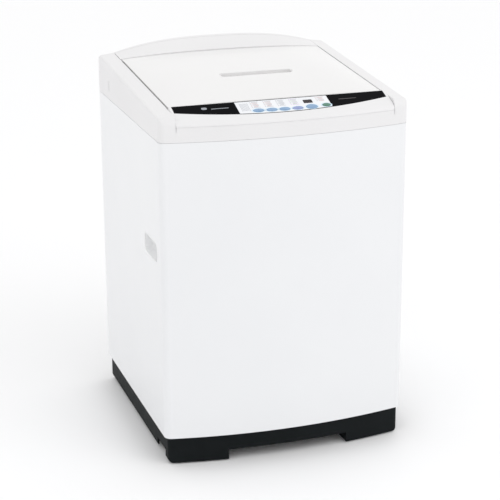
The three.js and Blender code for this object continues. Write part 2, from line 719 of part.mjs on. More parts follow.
function basketHub() {
  return turned([[shaftRadius + running, 150], [hubRadius, 150], [hubRadius, 196], [70, 208],
    [70, basketBottom - gap], [shaftRadius + running, basketBottom - gap], [shaftRadius + running, 150]],
  0, tubFromRear, 24);
}

function lintFilter() {
  const half = 32;
  const v = tubFromRear - Math.sqrt((basketRadius - basketWall - 1) ** 2 - half ** 2) + 1;
  return box(-half, half, v, v + 11, 430, 560);
}

// Low cone with sweeping vanes
function pulsator() {
  const r = pulsatorRadius;
  const low = pulsatorLow;
  let body = turned([[shaftRadius + gap, low], [r - 8, low], [r, low + 5], [r - 6, low + 9], [110, low + 12],
    [50, low + 26], [26, low + 44], [shaftRadius + gap, low + 44], [shaftRadius + gap, low]],
  0, tubFromRear, 24);
  for (let i = 0; i < 6; i += 1) {
    const vane = new THREE.ExtrudeGeometry(new THREE.Shape([[20, 0], [150, 0], [146, 9], [70, 26], [24, 38]]
      .map(p => new THREE.Vector2(p[0], p[1]))), { depth: 9, bevelEnabled: false });
    vane.translate(0, 0, -4.5).rotateX(Math.PI / 2).rotateZ(i * Math.PI / 3);
    body = join(body, solid(vane.translate(0, tubY, low + 4)));
  }
  return cut(body, rod(0, tubFromRear, low - 5, low + 41, shaftRadius + gap));
}

function pulsatorCap() {
  const low = pulsatorLow + 44 + gap;
  return turned([[0, low], [24, low], [22, low + 6], [12, low + 11], [0, low + 12]], 0, tubFromRear, 28);
}

const driveShaft = () => rod(0, tubFromRear, 100, pulsatorLow + 40, shaftRadius, 24);

function pulleyOnShaft() {
  const r = drivePulley;
  const top = beltLow + pulleyTall;
  return turned([[shaftRadius + gap, beltLow], [r + 3, beltLow], [r, beltLow + 3], [r, top - 3], [r + 3, top],
    [shaftRadius + gap, top], [shaftRadius + gap, beltLow]], 0, tubFromRear, 24);
}

// Suspension: a rod from each gusset, with a spring between its foot and the tub's lug
function suspensionRod(sx, sv) {
  const x = sx * rodSpread;
  const v = tubFromRear + sv * rodSpread;
  const base = springLow - 6;
  return turned([[0, base], [13, base], [13, springLow - gap], [rodRadius, springLow - gap],
    [rodRadius, gussetHeight + 2 + gap], [9, gussetHeight + 2 + gap], [9, gussetHeight + 10],
    [0, gussetHeight + 12]], x, v, 10);
}

class Helix extends THREE.Curve {
  constructor(radius, low, high, turns) {
    super();
    Object.assign(this, { radius, low, high, turns });
  }

  getPoint(t, target = new THREE.Vector3()) {
    const a = t * this.turns * 2 * Math.PI;
    return target.set(this.radius * Math.cos(a), this.radius * Math.sin(a), this.low + (this.high - this.low) * t);
  }
}

function suspensionSpring(sx, sv) {
  const wire = 1.8;
  const path = new Helix(10, springLow + wire + 0.2, springHigh - wire - 0.2, 4);
  const section = new THREE.Shape(arc(0, 0, wire, 0, 2 * Math.PI * 3 / 4, 3));
  const g = new THREE.ExtrudeGeometry(section, { steps: 30, extrudePath: path });
  return solid(g.translate(sx * rodSpread, fromRear(tubFromRear + sv * rodSpread), 0));
}

add('cabinet_wrap', cabinetWrap(), white, 0.3);
add('rear_panel', rearPanel(), grey, 0.5, 0.6);
add('base_frame', baseFrame(), black, 0.55);
add('top_cover', topCover(), warmWhite, 0.4);
add('rear_cover', rearCover(), warmWhite, 0.4);
add('control_console', controlConsole(), warmWhite, 0.4);
add('panel_overlay', panelOverlay(), 0x050607, 0.1);
add('panel_label', panelLabel(), 0xdfe5e9, 0.3);
add('display_window', displayWindow(), 0x0a0608, 0.05);
add('control_board', controlBoard(), 0x1f5a35, 0.6);
buttons.forEach((b, i) => add(`button_${i + 1}`, button(b), b[4], 0.3));
add('lid', lid(), warmWhite, 0.35);
add('lid_grip', lidGrip(), warmWhite, 0.4);
for (const [side, word] of [[-1, 'left'], [1, 'right']]) {
  add(`side_grip_${word}`, sideGrip(side), white, 0.5);
  add(`hinge_pin_${word}`, hingePin(side), steel, 0.3, 1);
  add(`lid_bumper_${word}`, bumper(side), black, 0.8);
}
add('inlet_valve', inletValve(), 0xe9e9e4, 0.5);
add('fill_spout', fillSpout(), warmWhite, 0.5);
add('drain_pump', drainPump(), 0x2b2d2f, 0.6);
add('pump_impeller', pumpImpeller(), 0x3b4450, 0.5);
add('drain_hose', drainHose(), 0x3a3d40, 0.8);
add('drain_port', drainPort(), 0x2b2d2f, 0.6);
add('cord_gland', cordGland(), black, 0.7);
add('lid_switch', lidSwitch(), 0x2b2d2f, 0.6);
add('outer_tub', outerTub(), 0xd5d9dc, 0.5);
add('tub_ring', tubRing(), 0xe3e6e8, 0.5);
add('sump_boot', sumpBoot(), 0x222222, 0.9);
add('gearcase', gearcase(), grey, 0.4, 0.9);
add('motor_body', motorBody(), 0x5c6167, 0.5, 0.8);
add('motor_bracket', motorBracket(), steel, 0.4, 0.9);
add('motor_shaft', motorShaft(), steel, 0.3, 1);
add('drive_belt', driveBelt(), 0x161616, 0.9);
add('wash_basket', washBasket(), 0xc9ccd0, 0.25, 1);
add('balance_ring', balanceRing(), 0xe6e8ea, 0.4);
add('basket_hub', basketHub(), grey, 0.4, 0.9);
add('lint_filter', lintFilter(), 0xd8dce0, 0.6);
add('pulsator', pulsator(), 0xdfe3e6, 0.4);
add('pulsator_cap', pulsatorCap(), 0xdfe3e6, 0.4);
add('drive_shaft', driveShaft(), steel, 0.3, 1);
add('drive_pulley', pulleyOnShaft(), grey, 0.4, 0.9);
corners.forEach(([sx, sv], i) => {
  add(`suspension_rod_${i + 1}`, suspensionRod(sx, sv), steel, 0.35, 1);
  add(`suspension_spring_${i + 1}`, suspensionSpring(sx, sv), 0x3c4046, 0.4, 1);
});
feet.forEach(([x, v], i) => add(`levelling_foot_${i + 1}`, foot(x, v), 0x191919, 0.85));

export default group;
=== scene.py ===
import math

import bpy
from mathutils import Matrix, Vector


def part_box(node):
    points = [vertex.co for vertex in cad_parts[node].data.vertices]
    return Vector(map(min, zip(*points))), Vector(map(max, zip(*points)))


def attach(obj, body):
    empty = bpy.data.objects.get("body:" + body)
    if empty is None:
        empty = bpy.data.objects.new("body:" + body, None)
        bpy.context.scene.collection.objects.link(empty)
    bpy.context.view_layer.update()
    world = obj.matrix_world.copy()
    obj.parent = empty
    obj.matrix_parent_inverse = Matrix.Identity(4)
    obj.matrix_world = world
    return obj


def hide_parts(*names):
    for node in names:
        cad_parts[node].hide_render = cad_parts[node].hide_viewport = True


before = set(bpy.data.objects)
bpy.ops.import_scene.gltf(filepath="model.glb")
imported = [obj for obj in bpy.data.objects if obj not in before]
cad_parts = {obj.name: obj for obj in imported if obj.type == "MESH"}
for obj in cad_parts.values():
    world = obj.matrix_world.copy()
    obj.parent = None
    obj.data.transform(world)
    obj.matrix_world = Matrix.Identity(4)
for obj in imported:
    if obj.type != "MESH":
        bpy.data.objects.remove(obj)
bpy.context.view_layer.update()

wrapLow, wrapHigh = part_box("cabinet_wrap")
rearY = wrapHigh.y
depth = wrapHigh.y - wrapLow.y
halfWidth = wrapHigh.x


# Selecting, applying and joining

def clearPick():
    if bpy.context.object and bpy.context.object.mode != "OBJECT":
        bpy.ops.object.mode_set(mode="OBJECT")
    bpy.ops.object.select_all(action="DESELECT")


def activate(piece):
    clearPick()
    piece.select_set(True)
    bpy.context.view_layer.objects.active = piece
    return piece


def placeInMesh(piece):
    activate(piece)
    bpy.ops.object.transform_apply(location=True, rotation=True, scale=True)
    return piece


def applyModifier(piece, kind, **settings):
    activate(piece)
    modifier = piece.modifiers.new(kind.lower(), kind)
    for key, value in settings.items():
        setattr(modifier, key, value)
    bpy.ops.object.modifier_apply(modifier=modifier.name)
    return piece


def combine(piece, operation, others):
    for other in others:
        applyModifier(piece, "BOOLEAN", operation=operation, solver="EXACT", object=other)
        bpy.data.objects.remove(other)
    return piece


def cutWith(piece, *tools):
    return combine(piece, "DIFFERENCE", tools)


def fuseWith(piece, *others):
    return combine(piece, "UNION", others)


def keepWithin(piece, other):
    return combine(piece, "INTERSECT", [other])


def gather(pieces):
    # several loose parts made one object, each staying a closed shell
    clearPick()
    for piece in pieces:
        piece.select_set(True)
    bpy.context.view_layer.objects.active = pieces[0]
    bpy.ops.object.join()
    return pieces[0]


def roundEdges(piece, width, segments=2, angle=40):
    return applyModifier(piece, "BEVEL", width=width, segments=segments, limit_method="ANGLE",
                         angle_limit=math.radians(angle), use_clamp_overlap=True)


def editAll(piece, mode="VERT"):
    activate(piece)
    bpy.ops.object.mode_set(mode="EDIT")
    bpy.ops.mesh.select_mode(type=mode)
    bpy.ops.mesh.select_all(action="SELECT")


def mergeAndTurnOut(piece, distance=1e-6):
    editAll(piece)
    bpy.ops.mesh.remove_doubles(threshold=distance)
    bpy.ops.mesh.normals_make_consistent(inside=False)
    bpy.ops.object.mode_set(mode="OBJECT")
    return piece


def pickEdges(piece, wanted):
    # edit mode, with the edges selected whose two ends pass the test
    editAll(piece, "EDGE")
    bpy.ops.mesh.select_all(action="DESELECT")
    bpy.ops.object.mode_set(mode="OBJECT")
    points = piece.data.vertices
    for edge in piece.data.edges:
        edge.select = wanted(points[edge.vertices[0]].co, points[edge.vertices[1]].co)
    bpy.ops.object.mode_set(mode="EDIT")


def pickFaces(piece, wanted):
    editAll(piece, "FACE")
    bpy.ops.mesh.select_all(action="DESELECT")
    bpy.ops.object.mode_set(mode="OBJECT")
    for face in piece.data.polygons:
        face.select = wanted(face)
    bpy.ops.object.mode_set(mode="EDIT")


def turnSheetOut(piece):
    # an open sheet is turned over when its foremost face looks inward
    foremost = min(piece.data.polygons, key=lambda face: face.center.y)
    if foremost.normal.y > 0:
        editAll(piece)
        bpy.ops.mesh.flip_normals()


def bevelEdges(piece, wanted, offset, segments=3):
    pickEdges(piece, wanted)
    bpy.ops.mesh.bevel(offset=offset, segments=segments, affect="EDGES")
    bpy.ops.object.mode_set(mode="OBJECT")
    return piece


# Starting shapes

def block(low, high):
    clearPick()
    middle = [(a + b) / 2 for a, b in zip(low, high)]
    bpy.ops.mesh.primitive_cube_add(size=1, location=middle)
    piece = bpy.context.object
    piece.scale = [b - a for a, b in zip(low, high)]
    return placeInMesh(piece)


def roundedBlock(low, high, radius, along="z", segments=5):
    piece = block(low, high)
    axis = "xyz".index(along)

    def isUpright(a, b):
        return abs((a - b)[axis]) > 1e-7 and (a - b).length - abs((a - b)[axis]) < 1e-7
    return bevelEdges(piece, isUpright, radius, segments)


def drapedBlock(across, along, place):
    # a closed block with a gridded top and underside; place says where each point goes
    clearPick()
    bpy.ops.mesh.primitive_grid_add(x_subdivisions=across, y_subdivisions=along, size=1, location=(0.5, 0.5, 1))
    piece = placeInMesh(bpy.context.object)
    editAll(piece, "FACE")
    bpy.ops.mesh.extrude_region_move(TRANSFORM_OT_translate={"value": (0, 0, -1)})
    bpy.ops.object.mode_set(mode="OBJECT")
    for point in piece.data.vertices:
        x, y, z = point.co
        point.co = place(x, y, z > 0.5)
    return mergeAndTurnOut(piece)


def startPoint(place):
    clearPick()
    bpy.ops.mesh.primitive_plane_add(size=0.001, location=place)
    piece = placeInMesh(bpy.context.object)
    editAll(piece)
    bpy.ops.mesh.merge(type="CENTER")
    return piece


def drawnLine(points):
    # a chain of edges through the points, left in edit mode with its last point selected
    piece = startPoint(points[0])
    for a, b in zip(points, points[1:]):
        bpy.ops.mesh.extrude_vertices_move(TRANSFORM_OT_translate={"value": Vector(b) - Vector(a)})
    return piece


def turned(profile, axis=(0, 0), steps=64):
    # a ring or disc about an upright axis, from (radius, height) pairs
    points = [(axis[0] + r, axis[1], z) for r, z in profile]
    piece = drawnLine(points)
    bpy.ops.mesh.select_all(action="SELECT")
    bpy.ops.mesh.spin(steps=steps, angle=2 * math.pi, center=(axis[0], axis[1], 0), axis=(0, 0, 1))
    bpy.ops.object.mode_set(mode="OBJECT")
    return mergeAndTurnOut(piece)


def closed(profile):
    return [*profile, profile[0]]


def peg(radius, low, high, axis=(0, 0), steps=32):
    return turned([(0, low), (radius, low), (radius, high), (0, high)], axis, steps)


def plate(points, low, high):
    piece = drawnLine([(x, y, low) for x, y in points])
    bpy.ops.mesh.select_all(action="SELECT")
    bpy.ops.mesh.edge_face_add()
    bpy.ops.mesh.extrude_region_move(TRANSFORM_OT_translate={"value": (0, 0, high - low)})
    bpy.ops.object.mode_set(mode="OBJECT")
    return mergeAndTurnOut(piece)


def layAlongY(piece, place=(0, 0, 0), towardsFront=False):
    # an upright turned piece laid down, its foot at the place
    piece.rotation_euler = ((1 if towardsFront else -1) * math.pi / 2, 0, 0)
    piece.location = place
    return placeInMesh(piece)


def copyOf(piece, shift=(0, 0, 0), scale=(1, 1, 1)):
    activate(piece)
    bpy.ops.object.duplicate()
    twin = bpy.context.object
    twin.location = shift
    twin.scale = scale
    return placeInMesh(twin)


def copiesAt(master, places):
    # one copy at each place, with the master removed
    made = [copyOf(master, place) for place in places]
    bpy.data.objects.remove(master)
    return made


def mirroredCopy(piece):
    return mergeAndTurnOut(copyOf(piece, scale=(-1, 1, 1)))


# Finishes. Every pattern reads Object coordinates, so it stays with its piece in a pose.

printed = dict(rough=(0.4, 0.5), mottle=60, grain=2000, bump=0.00001)
keycap = dict(rough=(0.16, 0.28), mottle=90, grain=2500, bump=0.00001, coat=0.5)
looks = {
    "cabinetPaint": dict(tone=(0.785, 0.792, 0.805), shade=(0.762, 0.770, 0.785), rough=(0.26, 0.36),
                         mottle=2.2, grain=520, bump=0.000008, coat=0.3),
    "coverPlastic": dict(tone=(0.755, 0.750, 0.755), shade=(0.735, 0.729, 0.735), rough=(0.34, 0.46),
                         mottle=3.5, grain=1400, bump=0.000008),
    "lidPlastic": dict(tone=(0.770, 0.764, 0.762), shade=(0.750, 0.743, 0.742), rough=(0.26, 0.32),
                       mottle=2.5, grain=900, bump=0.000002, coat=0.25),
    "gripPlastic": dict(tone=(0.85, 0.855, 0.86), shade=(0.82, 0.825, 0.83), rough=(0.4, 0.55),
                        mottle=14, grain=1800, bump=0.00006),
    "basePlastic": dict(tone=(0.0065, 0.0085, 0.0095), shade=(0.004, 0.0055, 0.006), rough=(0.5, 0.68),
                        mottle=9, grain=1500, bump=0.00004, specular=0.10),
    "panelGloss": dict(tone=(0.006, 0.006, 0.007), shade=(0.003, 0.003, 0.004), rough=(0.14, 0.2),
                       mottle=5, grain=300, bump=0.000002, specular=0.012),
    "labelFilm": dict(tone=(0.82, 0.83, 0.855), shade=(0.77, 0.785, 0.815), rough=(0.2, 0.3),
                      mottle=18, grain=2200, bump=0.000006, coat=0.4),
    "displayDark": dict(tone=(0.010, 0.004, 0.006), shade=(0.005, 0.002, 0.003), rough=(0.04, 0.09),
                        mottle=30, grain=600, bump=0.000002, specular=0.15),
    "legendGrey": dict(printed, tone=(0.36, 0.38, 0.42), shade=(0.28, 0.30, 0.34)),
    "legendRed": dict(printed, tone=(0.62, 0.30, 0.27), shade=(0.5, 0.22, 0.2)),
    "legendViolet": dict(printed, tone=(0.55, 0.36, 0.66), shade=(0.45, 0.28, 0.56)),
    "legendGreen": dict(printed, tone=(0.34, 0.56, 0.30), shade=(0.26, 0.45, 0.22)),
    "haloCyan": dict(printed, tone=(0.62, 0.78, 0.90), shade=(0.55, 0.72, 0.86), rough=(0.3, 0.4)),
    "segmentDim": dict(printed, tone=(0.09, 0.075, 0.08), shade=(0.07, 0.055, 0.06), rough=(0.3, 0.4)),
    "buttonBlue": dict(keycap, tone=(0.22, 0.36, 0.56), shade=(0.15, 0.28, 0.46)),
    "buttonViolet": dict(keycap, tone=(0.27, 0.33, 0.58), shade=(0.20, 0.25, 0.48)),
    "buttonGreen": dict(keycap, tone=(0.05, 0.20, 0.13), shade=(0.03, 0.14, 0.09)),
    "tubPlastic": dict(tone=(0.62, 0.64, 0.66), shade=(0.55, 0.57, 0.59), rough=(0.4, 0.55),
                       mottle=7, grain=1100, bump=0.00005),
    "pulsatorPlastic": dict(tone=(0.70, 0.73, 0.76), shade=(0.64, 0.67, 0.71), rough=(0.28, 0.42),
                            mottle=9, grain=1300, bump=0.00003),
    "darkPlastic": dict(tone=(0.030, 0.032, 0.035), shade=(0.018, 0.019, 0.021), rough=(0.45, 0.6),
                        mottle=16, grain=1500, bump=0.00006),
    "rubber": dict(tone=(0.018, 0.018, 0.019), shade=(0.010, 0.010, 0.011), rough=(0.72, 0.9),
                   mottle=26, grain=2600, bump=0.00012),
    "motorPaint": dict(tone=(0.11, 0.12, 0.13), shade=(0.08, 0.088, 0.095), rough=(0.4, 0.55),
                       mottle=20, grain=900, bump=0.00006, metal=0.4),
    "circuitBoard": dict(tone=(0.02, 0.10, 0.045), shade=(0.012, 0.07, 0.03), rough=(0.3, 0.5),
                         mottle=120, grain=900, bump=0.00005),
    "stainless": dict(tone=(0.80, 0.805, 0.81), shade=(0.74, 0.745, 0.75), rough=(0.26, 0.42),
                      mottle=4, grain=60, bump=0.000004, metal=0.75, stretch=(1, 1, 28)),
    "steelBright": dict(tone=(0.62, 0.62, 0.63), shade=(0.50, 0.50, 0.52), rough=(0.2, 0.4),
                        mottle=14, grain=240, bump=0.00003, metal=1, stretch=(1, 1, 0.1)),
    "springSteel": dict(tone=(0.10, 0.105, 0.115), shade=(0.06, 0.065, 0.07), rough=(0.3, 0.5),
                        mottle=40, grain=700, bump=0.00004, metal=1),
    "castHousing": dict(tone=(0.30, 0.305, 0.31), shade=(0.20, 0.205, 0.21), rough=(0.42, 0.65),
                        mottle=30, grain=420, bump=0.0002, metal=0.9),
}


def addNode(tree, kind, **values):
    node = tree.nodes.new("ShaderNode" + kind)
    for key, value in values.items():
        node.inputs[key].default_value = value
    return node


def startMaterial(name, look):
    material = bpy.data.materials.new(name)
    material.use_nodes = True
    tree = material.node_tree
    shader = tree.nodes["Principled BSDF"]
    shader.inputs["Metallic"].default_value = look.get("metal", 0)
    shader.inputs["Coat Weight"].default_value = look.get("coat", 0)
    shader.inputs["Coat Roughness"].default_value = 0.12
    shader.inputs["Specular IOR Level"].default_value = look.get("specular", 0.5)
    coordinates = tree.nodes.new("ShaderNodeTexCoord")
    mapping = addNode(tree, "Mapping", Scale=look.get("stretch", (1, 1, 1)))
    tree.links.new(coordinates.outputs["Object"], mapping.inputs["Vector"])
    return material, tree, shader, mapping


def tintBetween(tree, shader, factor, look):
    ramp = tree.nodes.new("ShaderNodeValToRGB")
    ramp.color_ramp.elements[0].position = 0.3
    ramp.color_ramp.elements[1].position = 0.7
    ramp.color_ramp.elements[0].color = (*look["shade"], 1)
    ramp.color_ramp.elements[1].color = (*look["tone"], 1)
    tree.links.new(factor, ramp.inputs["Fac"])
    tree.links.new(ramp.outputs["Color"], shader.inputs["Base Color"])


def roughBetween(tree, shader, factor, look):
    spread = tree.nodes.new("ShaderNodeMapRange")
    spread.inputs["To Min"].default_value, spread.inputs["To Max"].default_value = look["rough"]
    tree.links.new(factor, spread.inputs["Value"])
    tree.links.new(spread.outputs["Result"], shader.inputs["Roughness"])


def bumpFrom(tree, shader, height, distance):
    bump = addNode(tree, "Bump", Strength=1, Distance=distance)
    tree.links.new(height, bump.inputs["Height"])
    tree.links.new(bump.outputs["Normal"], shader.inputs["Normal"])


def noiseFrom(tree, mapping, scale, detail=4.0):
    noise = addNode(tree, "TexNoise", Scale=scale, Detail=detail, Roughness=0.55)
    tree.links.new(mapping.outputs["Vector"], noise.inputs["Vector"])
    return noise.outputs["Fac"]


def makeFinish(name):
    look = looks[name]
    material, tree, shader, mapping = startMaterial(name, look)
    tintBetween(tree, shader, noiseFrom(tree, mapping, look["mottle"]), look)
    roughBetween(tree, shader, noiseFrom(tree, mapping, look["mottle"] * 6), look)
    bumpFrom(tree, shader, noiseFrom(tree, mapping, look["grain"], 2.0), look["bump"])
    return material


galvanisedLook = dict(tone=(0.50, 0.51, 0.525), shade=(0.44, 0.45, 0.465), rough=(0.34, 0.5), metal=0.9)


def makeGalvanised():
    # zinc spangle: flat crystals of slightly different brightness
    material, tree, shader, mapping = startMaterial("galvanised", galvanisedLook)
    crystals = addNode(tree, "TexVoronoi", Scale=130)
    tree.links.new(mapping.outputs["Vector"], crystals.inputs["Vector"])
    tintBetween(tree, shader, crystals.outputs["Distance"], galvanisedLook)
    roughBetween(tree, shader, noiseFrom(tree, mapping, 60), galvanisedLook)
    bumpFrom(tree, shader, crystals.outputs["Distance"], 0.00005)
    return material


finishes = {name: makeFinish(name) for name in looks}
finishes["galvanised"] = makeGalvanised()
print("finishes made", len(finishes))


def finishPiece(piece, name, body, finish, nodes=(), angle=35):
    placeInMesh(piece)
    bpy.ops.object.shade_smooth_by_angle(angle=math.radians(angle))
    piece.name = name
    piece.data.name = name
    piece.data.materials.clear()
    piece.data.materials.append(finishes[finish])
    applyModifier(piece, "WEIGHTED_NORMAL", keep_sharp=True, weight=50)
    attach(piece, body)
    if nodes:
        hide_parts(*nodes)
    return piece


# Plan of the cabinet: straight rear and sides, rounded corners, bowed front.
# v is a distance ahead of the rear face.

plan = dict(frontBow=0.034, cornerRadius=0.018, cornerSteps=9, frontSteps=44)
frontRadius = (halfWidth ** 2 + plan["frontBow"] ** 2) / (2 * plan["frontBow"])
bowCentre = depth - frontRadius
cornerX = halfWidth - plan["cornerRadius"]
cornerV = bowCentre + math.sqrt((frontRadius - plan["cornerRadius"]) ** 2 - cornerX ** 2)
cornerTurn = math.pi / 2 - math.atan2(cornerX, cornerV - bowCentre)


def fromRear(v):
    return rearY - v


def frontAt(x):
    return bowCentre + math.sqrt(frontRadius ** 2 - x ** 2)


def cornerPoint(angle, inset=0.0):
    radius = plan["cornerRadius"] - inset
    return cornerX + radius * math.cos(angle), cornerV + radius * math.sin(angle)


def frontOutline(inset=0.0):
    # from the right side round the front to the left side, as (x, v) pairs
    corner = [cornerPoint(cornerTurn * i / plan["cornerSteps"], inset) for i in range(plan["cornerSteps"] + 1)]
    reach = corner[-1][0]
    steps = plan["frontSteps"]
    front = [(reach - 2 * reach * i / steps) for i in range(1, steps)]
    return [*corner, *[(x, bowCentre + math.sqrt((frontRadius - inset) ** 2 - x ** 2)) for x in front],
            *[(-x, v) for x, v in reversed(corner)]]


def fullOutline(inset=0.0):
    side = halfWidth - inset
    points = [(side, inset), *frontOutline(inset), (-side, inset)]
    return [(x, fromRear(v)) for x, v in points]


# Steel cabinet: front and sides in one bent sheet, with rear flanges and corner gussets

cabinet = dict(sheet=0.0015, flange=0.024, edgeRound=0.0005, gussetRear=0.060, gussetFront=0.065,
               gussetInner=0.020, gussetHeight=0.752, gussetThick=0.002, gussetSink=0.0006, gussetInset=0.0012,
               rodSpread=0.215, rodHole=0.005, rodAxis=0.300)
gripOpening = dict(rear=0.430, front=0.545, low=0.500, high=0.548, clear=0.0003, radius=0.013)


def gripBlock(side, grow, depthIn, depthOut=0.005):
    g = gripOpening
    outer = side * (halfWidth + depthOut)
    inner = side * (halfWidth - depthIn)
    low = (min(outer, inner), fromRear(g["front"] + grow), g["low"] - grow)
    high = (max(outer, inner), fromRear(g["rear"] - grow), g["high"] + grow)
    return roundedBlock(low, high, g["radius"] + grow, along="x", segments=6)


def makeCabinet():
    c = cabinet
    low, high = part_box("cabinet_wrap")
    line = [(halfWidth - c["flange"], 0), (halfWidth, 0), *frontOutline(),
            (-halfWidth, 0), (c["flange"] - halfWidth, 0)]
    piece = drawnLine([(x, fromRear(v), low.z) for x, v in line])
    bpy.ops.mesh.select_all(action="SELECT")
    bpy.ops.mesh.extrude_edges_move(TRANSFORM_OT_translate={"value": (0, 0, high.z - low.z)})
    bpy.ops.mesh.select_all(action="SELECT")
    bpy.ops.mesh.normals_make_consistent(inside=False)
    bpy.ops.object.mode_set(mode="OBJECT")
    turnSheetOut(piece)
    applyModifier(piece, "SOLIDIFY", thickness=c["sheet"], offset=-1, use_even_offset=True)
    for side in (-1, 1):
        cutWith(piece, gripBlock(side, gripOpening["clear"], 0.01))
    roundEdges(piece, c["edgeRound"], 2, 50)
    for side in (-1, 1):
        for end in (-1, 1):
            x, z = side * c["rodSpread"], c["gussetHeight"]
            y = fromRear(c["rodAxis"] + end * c["rodSpread"])
            xs = sorted((x - side * c["gussetInner"], side * (halfWidth - c["gussetSink"])))
            ys = sorted((y + end * c["gussetInner"], y - end * c["gussetFront" if end > 0 else "gussetRear"]))
            shelf = block((xs[0], ys[0], z), (xs[1], ys[1], z + c["gussetThick"]))
            keepWithin(shelf, plate(fullOutline(c["gussetInset"]), z - 0.01, z + 0.01))
            fuseWith(piece, cutWith(shelf, peg(c["rodHole"], z - 0.05, z + 0.04, (x, y), 20)))
    return finishPiece(piece, "cabinetWrap", "cabinet", "cabinetPaint", ["cabinet_wrap"])


makeCabinet()
print("cabinet made")


# Heights of the top: rails, rear arch, lid and the console's slope

top = dict(edgeRear=0.899, edgeSlope=0.0683, railFall=0.005, railRound=0.005, railInner=0.267, lidHalf=0.263,
           lipDepth=0.016, lipBase=0.837, rearCrest=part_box("top_cover")[1].z, crestFromRear=0.014,
           crestRound=0.012,
           archPower=2.6, hingeFromRear=0.084, hingeHeight=0.889, hingeGap=0.0024, lidCrest=0.906,
           lidCrestFromRear=0.200, lidArcRadius=1.430, consoleBack=0.527, consoleHeight=0.869,
           consoleTilt=math.radians(19), bandTop=0.834, seam=0.799, rearCoverFront=0.020,
           deckHeight=0.822, deckThick=0.003, mouthRadius=0.205, mouthDrop=0.045, wall=0.003,
           tubAxis=0.300, portX=0.038, portZ=0.858, portHole=0.014)


def edgeLine(v):
    return top["edgeRear"] - top["edgeSlope"] * v


def slopeZ(v):
    return top["consoleHeight"] - math.tan(top["consoleTilt"]) * (v - top["consoleBack"])


def quarterRise(distance, radius):
    # 0 at the edge, 1 once the distance reaches the radius, along a quarter circle
    share = 1 - min(max(distance / radius, 0), 1)
    return math.sqrt(max(1 - share ** 2, 0))


def roundedDown(x, v, z):
    # z lowered towards the plan's edge: a small round along the sides, a longer lip along the front
    out, ahead = abs(x) - cornerX, v - cornerV
    around = math.atan2(ahead, out)
    if ahead <= 0:
        distance, turn = halfWidth - abs(x), 0
    elif around >= cornerTurn or out <= 0:
        distance, turn = frontAt(x) - v, 1
    else:
        distance = plan["cornerRadius"] - math.hypot(out, ahead)
        turn = around / cornerTurn
        turn = turn * turn * (3 - 2 * turn)
    reach = top["railRound"] + (top["lipDepth"] - top["railRound"]) * turn
    drop = top["railRound"] + (z - top["lipBase"] - top["railRound"]) * turn
    return z - drop * (1 - quarterRise(distance, reach))


def railTop(x, v):
    out = abs(x)
    z = edgeLine(v) - top["railFall"] * (out - top["railInner"]) / (halfWidth - top["railInner"])
    z = roundedDown(x, v, z)
    if v < top["crestRound"]:
        z -= top["crestRound"] * (1 - quarterRise(v, top["crestRound"]))
    return z


def lidMiddle(v):
    return top["lidCrest"] - (v - top["lidCrestFromRear"]) ** 2 / (2 * top["lidArcRadius"])


def lidTop(x, v):
    travel = (v - top["hingeFromRear"]) / (top["consoleBack"] - top["hingeFromRear"])
    power = top["archPower"] + 4 * max(travel, 0)
    edge = edgeLine(v)
    return edge + (lidMiddle(v) - edge) * (1 - min(abs(x) / top["lidHalf"], 1) ** power)


def barrel(x):
    return lidTop(x, top["hingeFromRear"]) - top["hingeHeight"]


def rearCoverEdge(x):
    return top["hingeFromRear"] - barrel(x) - top["hingeGap"]


def archTop(x, v):
    share = 1 - min(abs(x) / top["railInner"], 1) ** top["archPower"]
    start = top["crestFromRear"]
    fall = min(max((v - start) / (rearCoverEdge(0) - start), 0), 1)
    frontCrown = lidTop(0, top["hingeFromRear"]) + 0.001 - edgeLine(rearCoverEdge(0))
    crown = (top["rearCrest"] - edgeLine(start)) * (1 - fall) + frontCrown * fall
    return edgeLine(max(v, start)) + crown * share


def rearArch(x, v):
    return archTop(x, v) - top["crestRound"] * (1 - quarterRise(v, top["crestRound"]))


# Top cover: two rails, a front band, a rear beam and the deck round the mouth, in one moulding

cover = dict(railAcross=16, railAlong=44, innerRound=0.0016, innerRoundStart=0.019, lowerRound=0.0006,
             hollowPast=0.005, slitFromRear=0.107, slitLow=0.818, slitHigh=0.847, slitHalf=0.0015,
             slitDepth=0.0045, slitRound=0.0014, archAcross=48, ringReach=0.022, bandDepth=0.020)


def alongPath(points, share):
    lengths = [math.dist(a, b) for a, b in zip(points, points[1:])]
    left = share * sum(lengths)
    for a, b, length in zip(points, points[1:], lengths):
        if left <= length or b == points[-1]:
            k = min(left / length, 1)
            return a[0] + (b[0] - a[0]) * k, a[1] + (b[1] - a[1]) * k
        left -= length


def railPlan(inner, inset):
    # the rail's four sides as paths, from which the points inside are blended
    middle = cornerTurn / 2
    half = [cornerPoint(middle * i / 12, inset) for i in range(13)]
    rest = [cornerPoint(middle + (cornerTurn - middle) * i / 12, inset) for i in range(13)]
    outer = [(halfWidth - inset, inset), *half]
    reach = rest[-1][0]
    across = [inner + (reach - inner) * i / 8 for i in range(8)]
    return outer, [*[(x, frontAt(x) - inset) for x in across], *reversed(rest)]


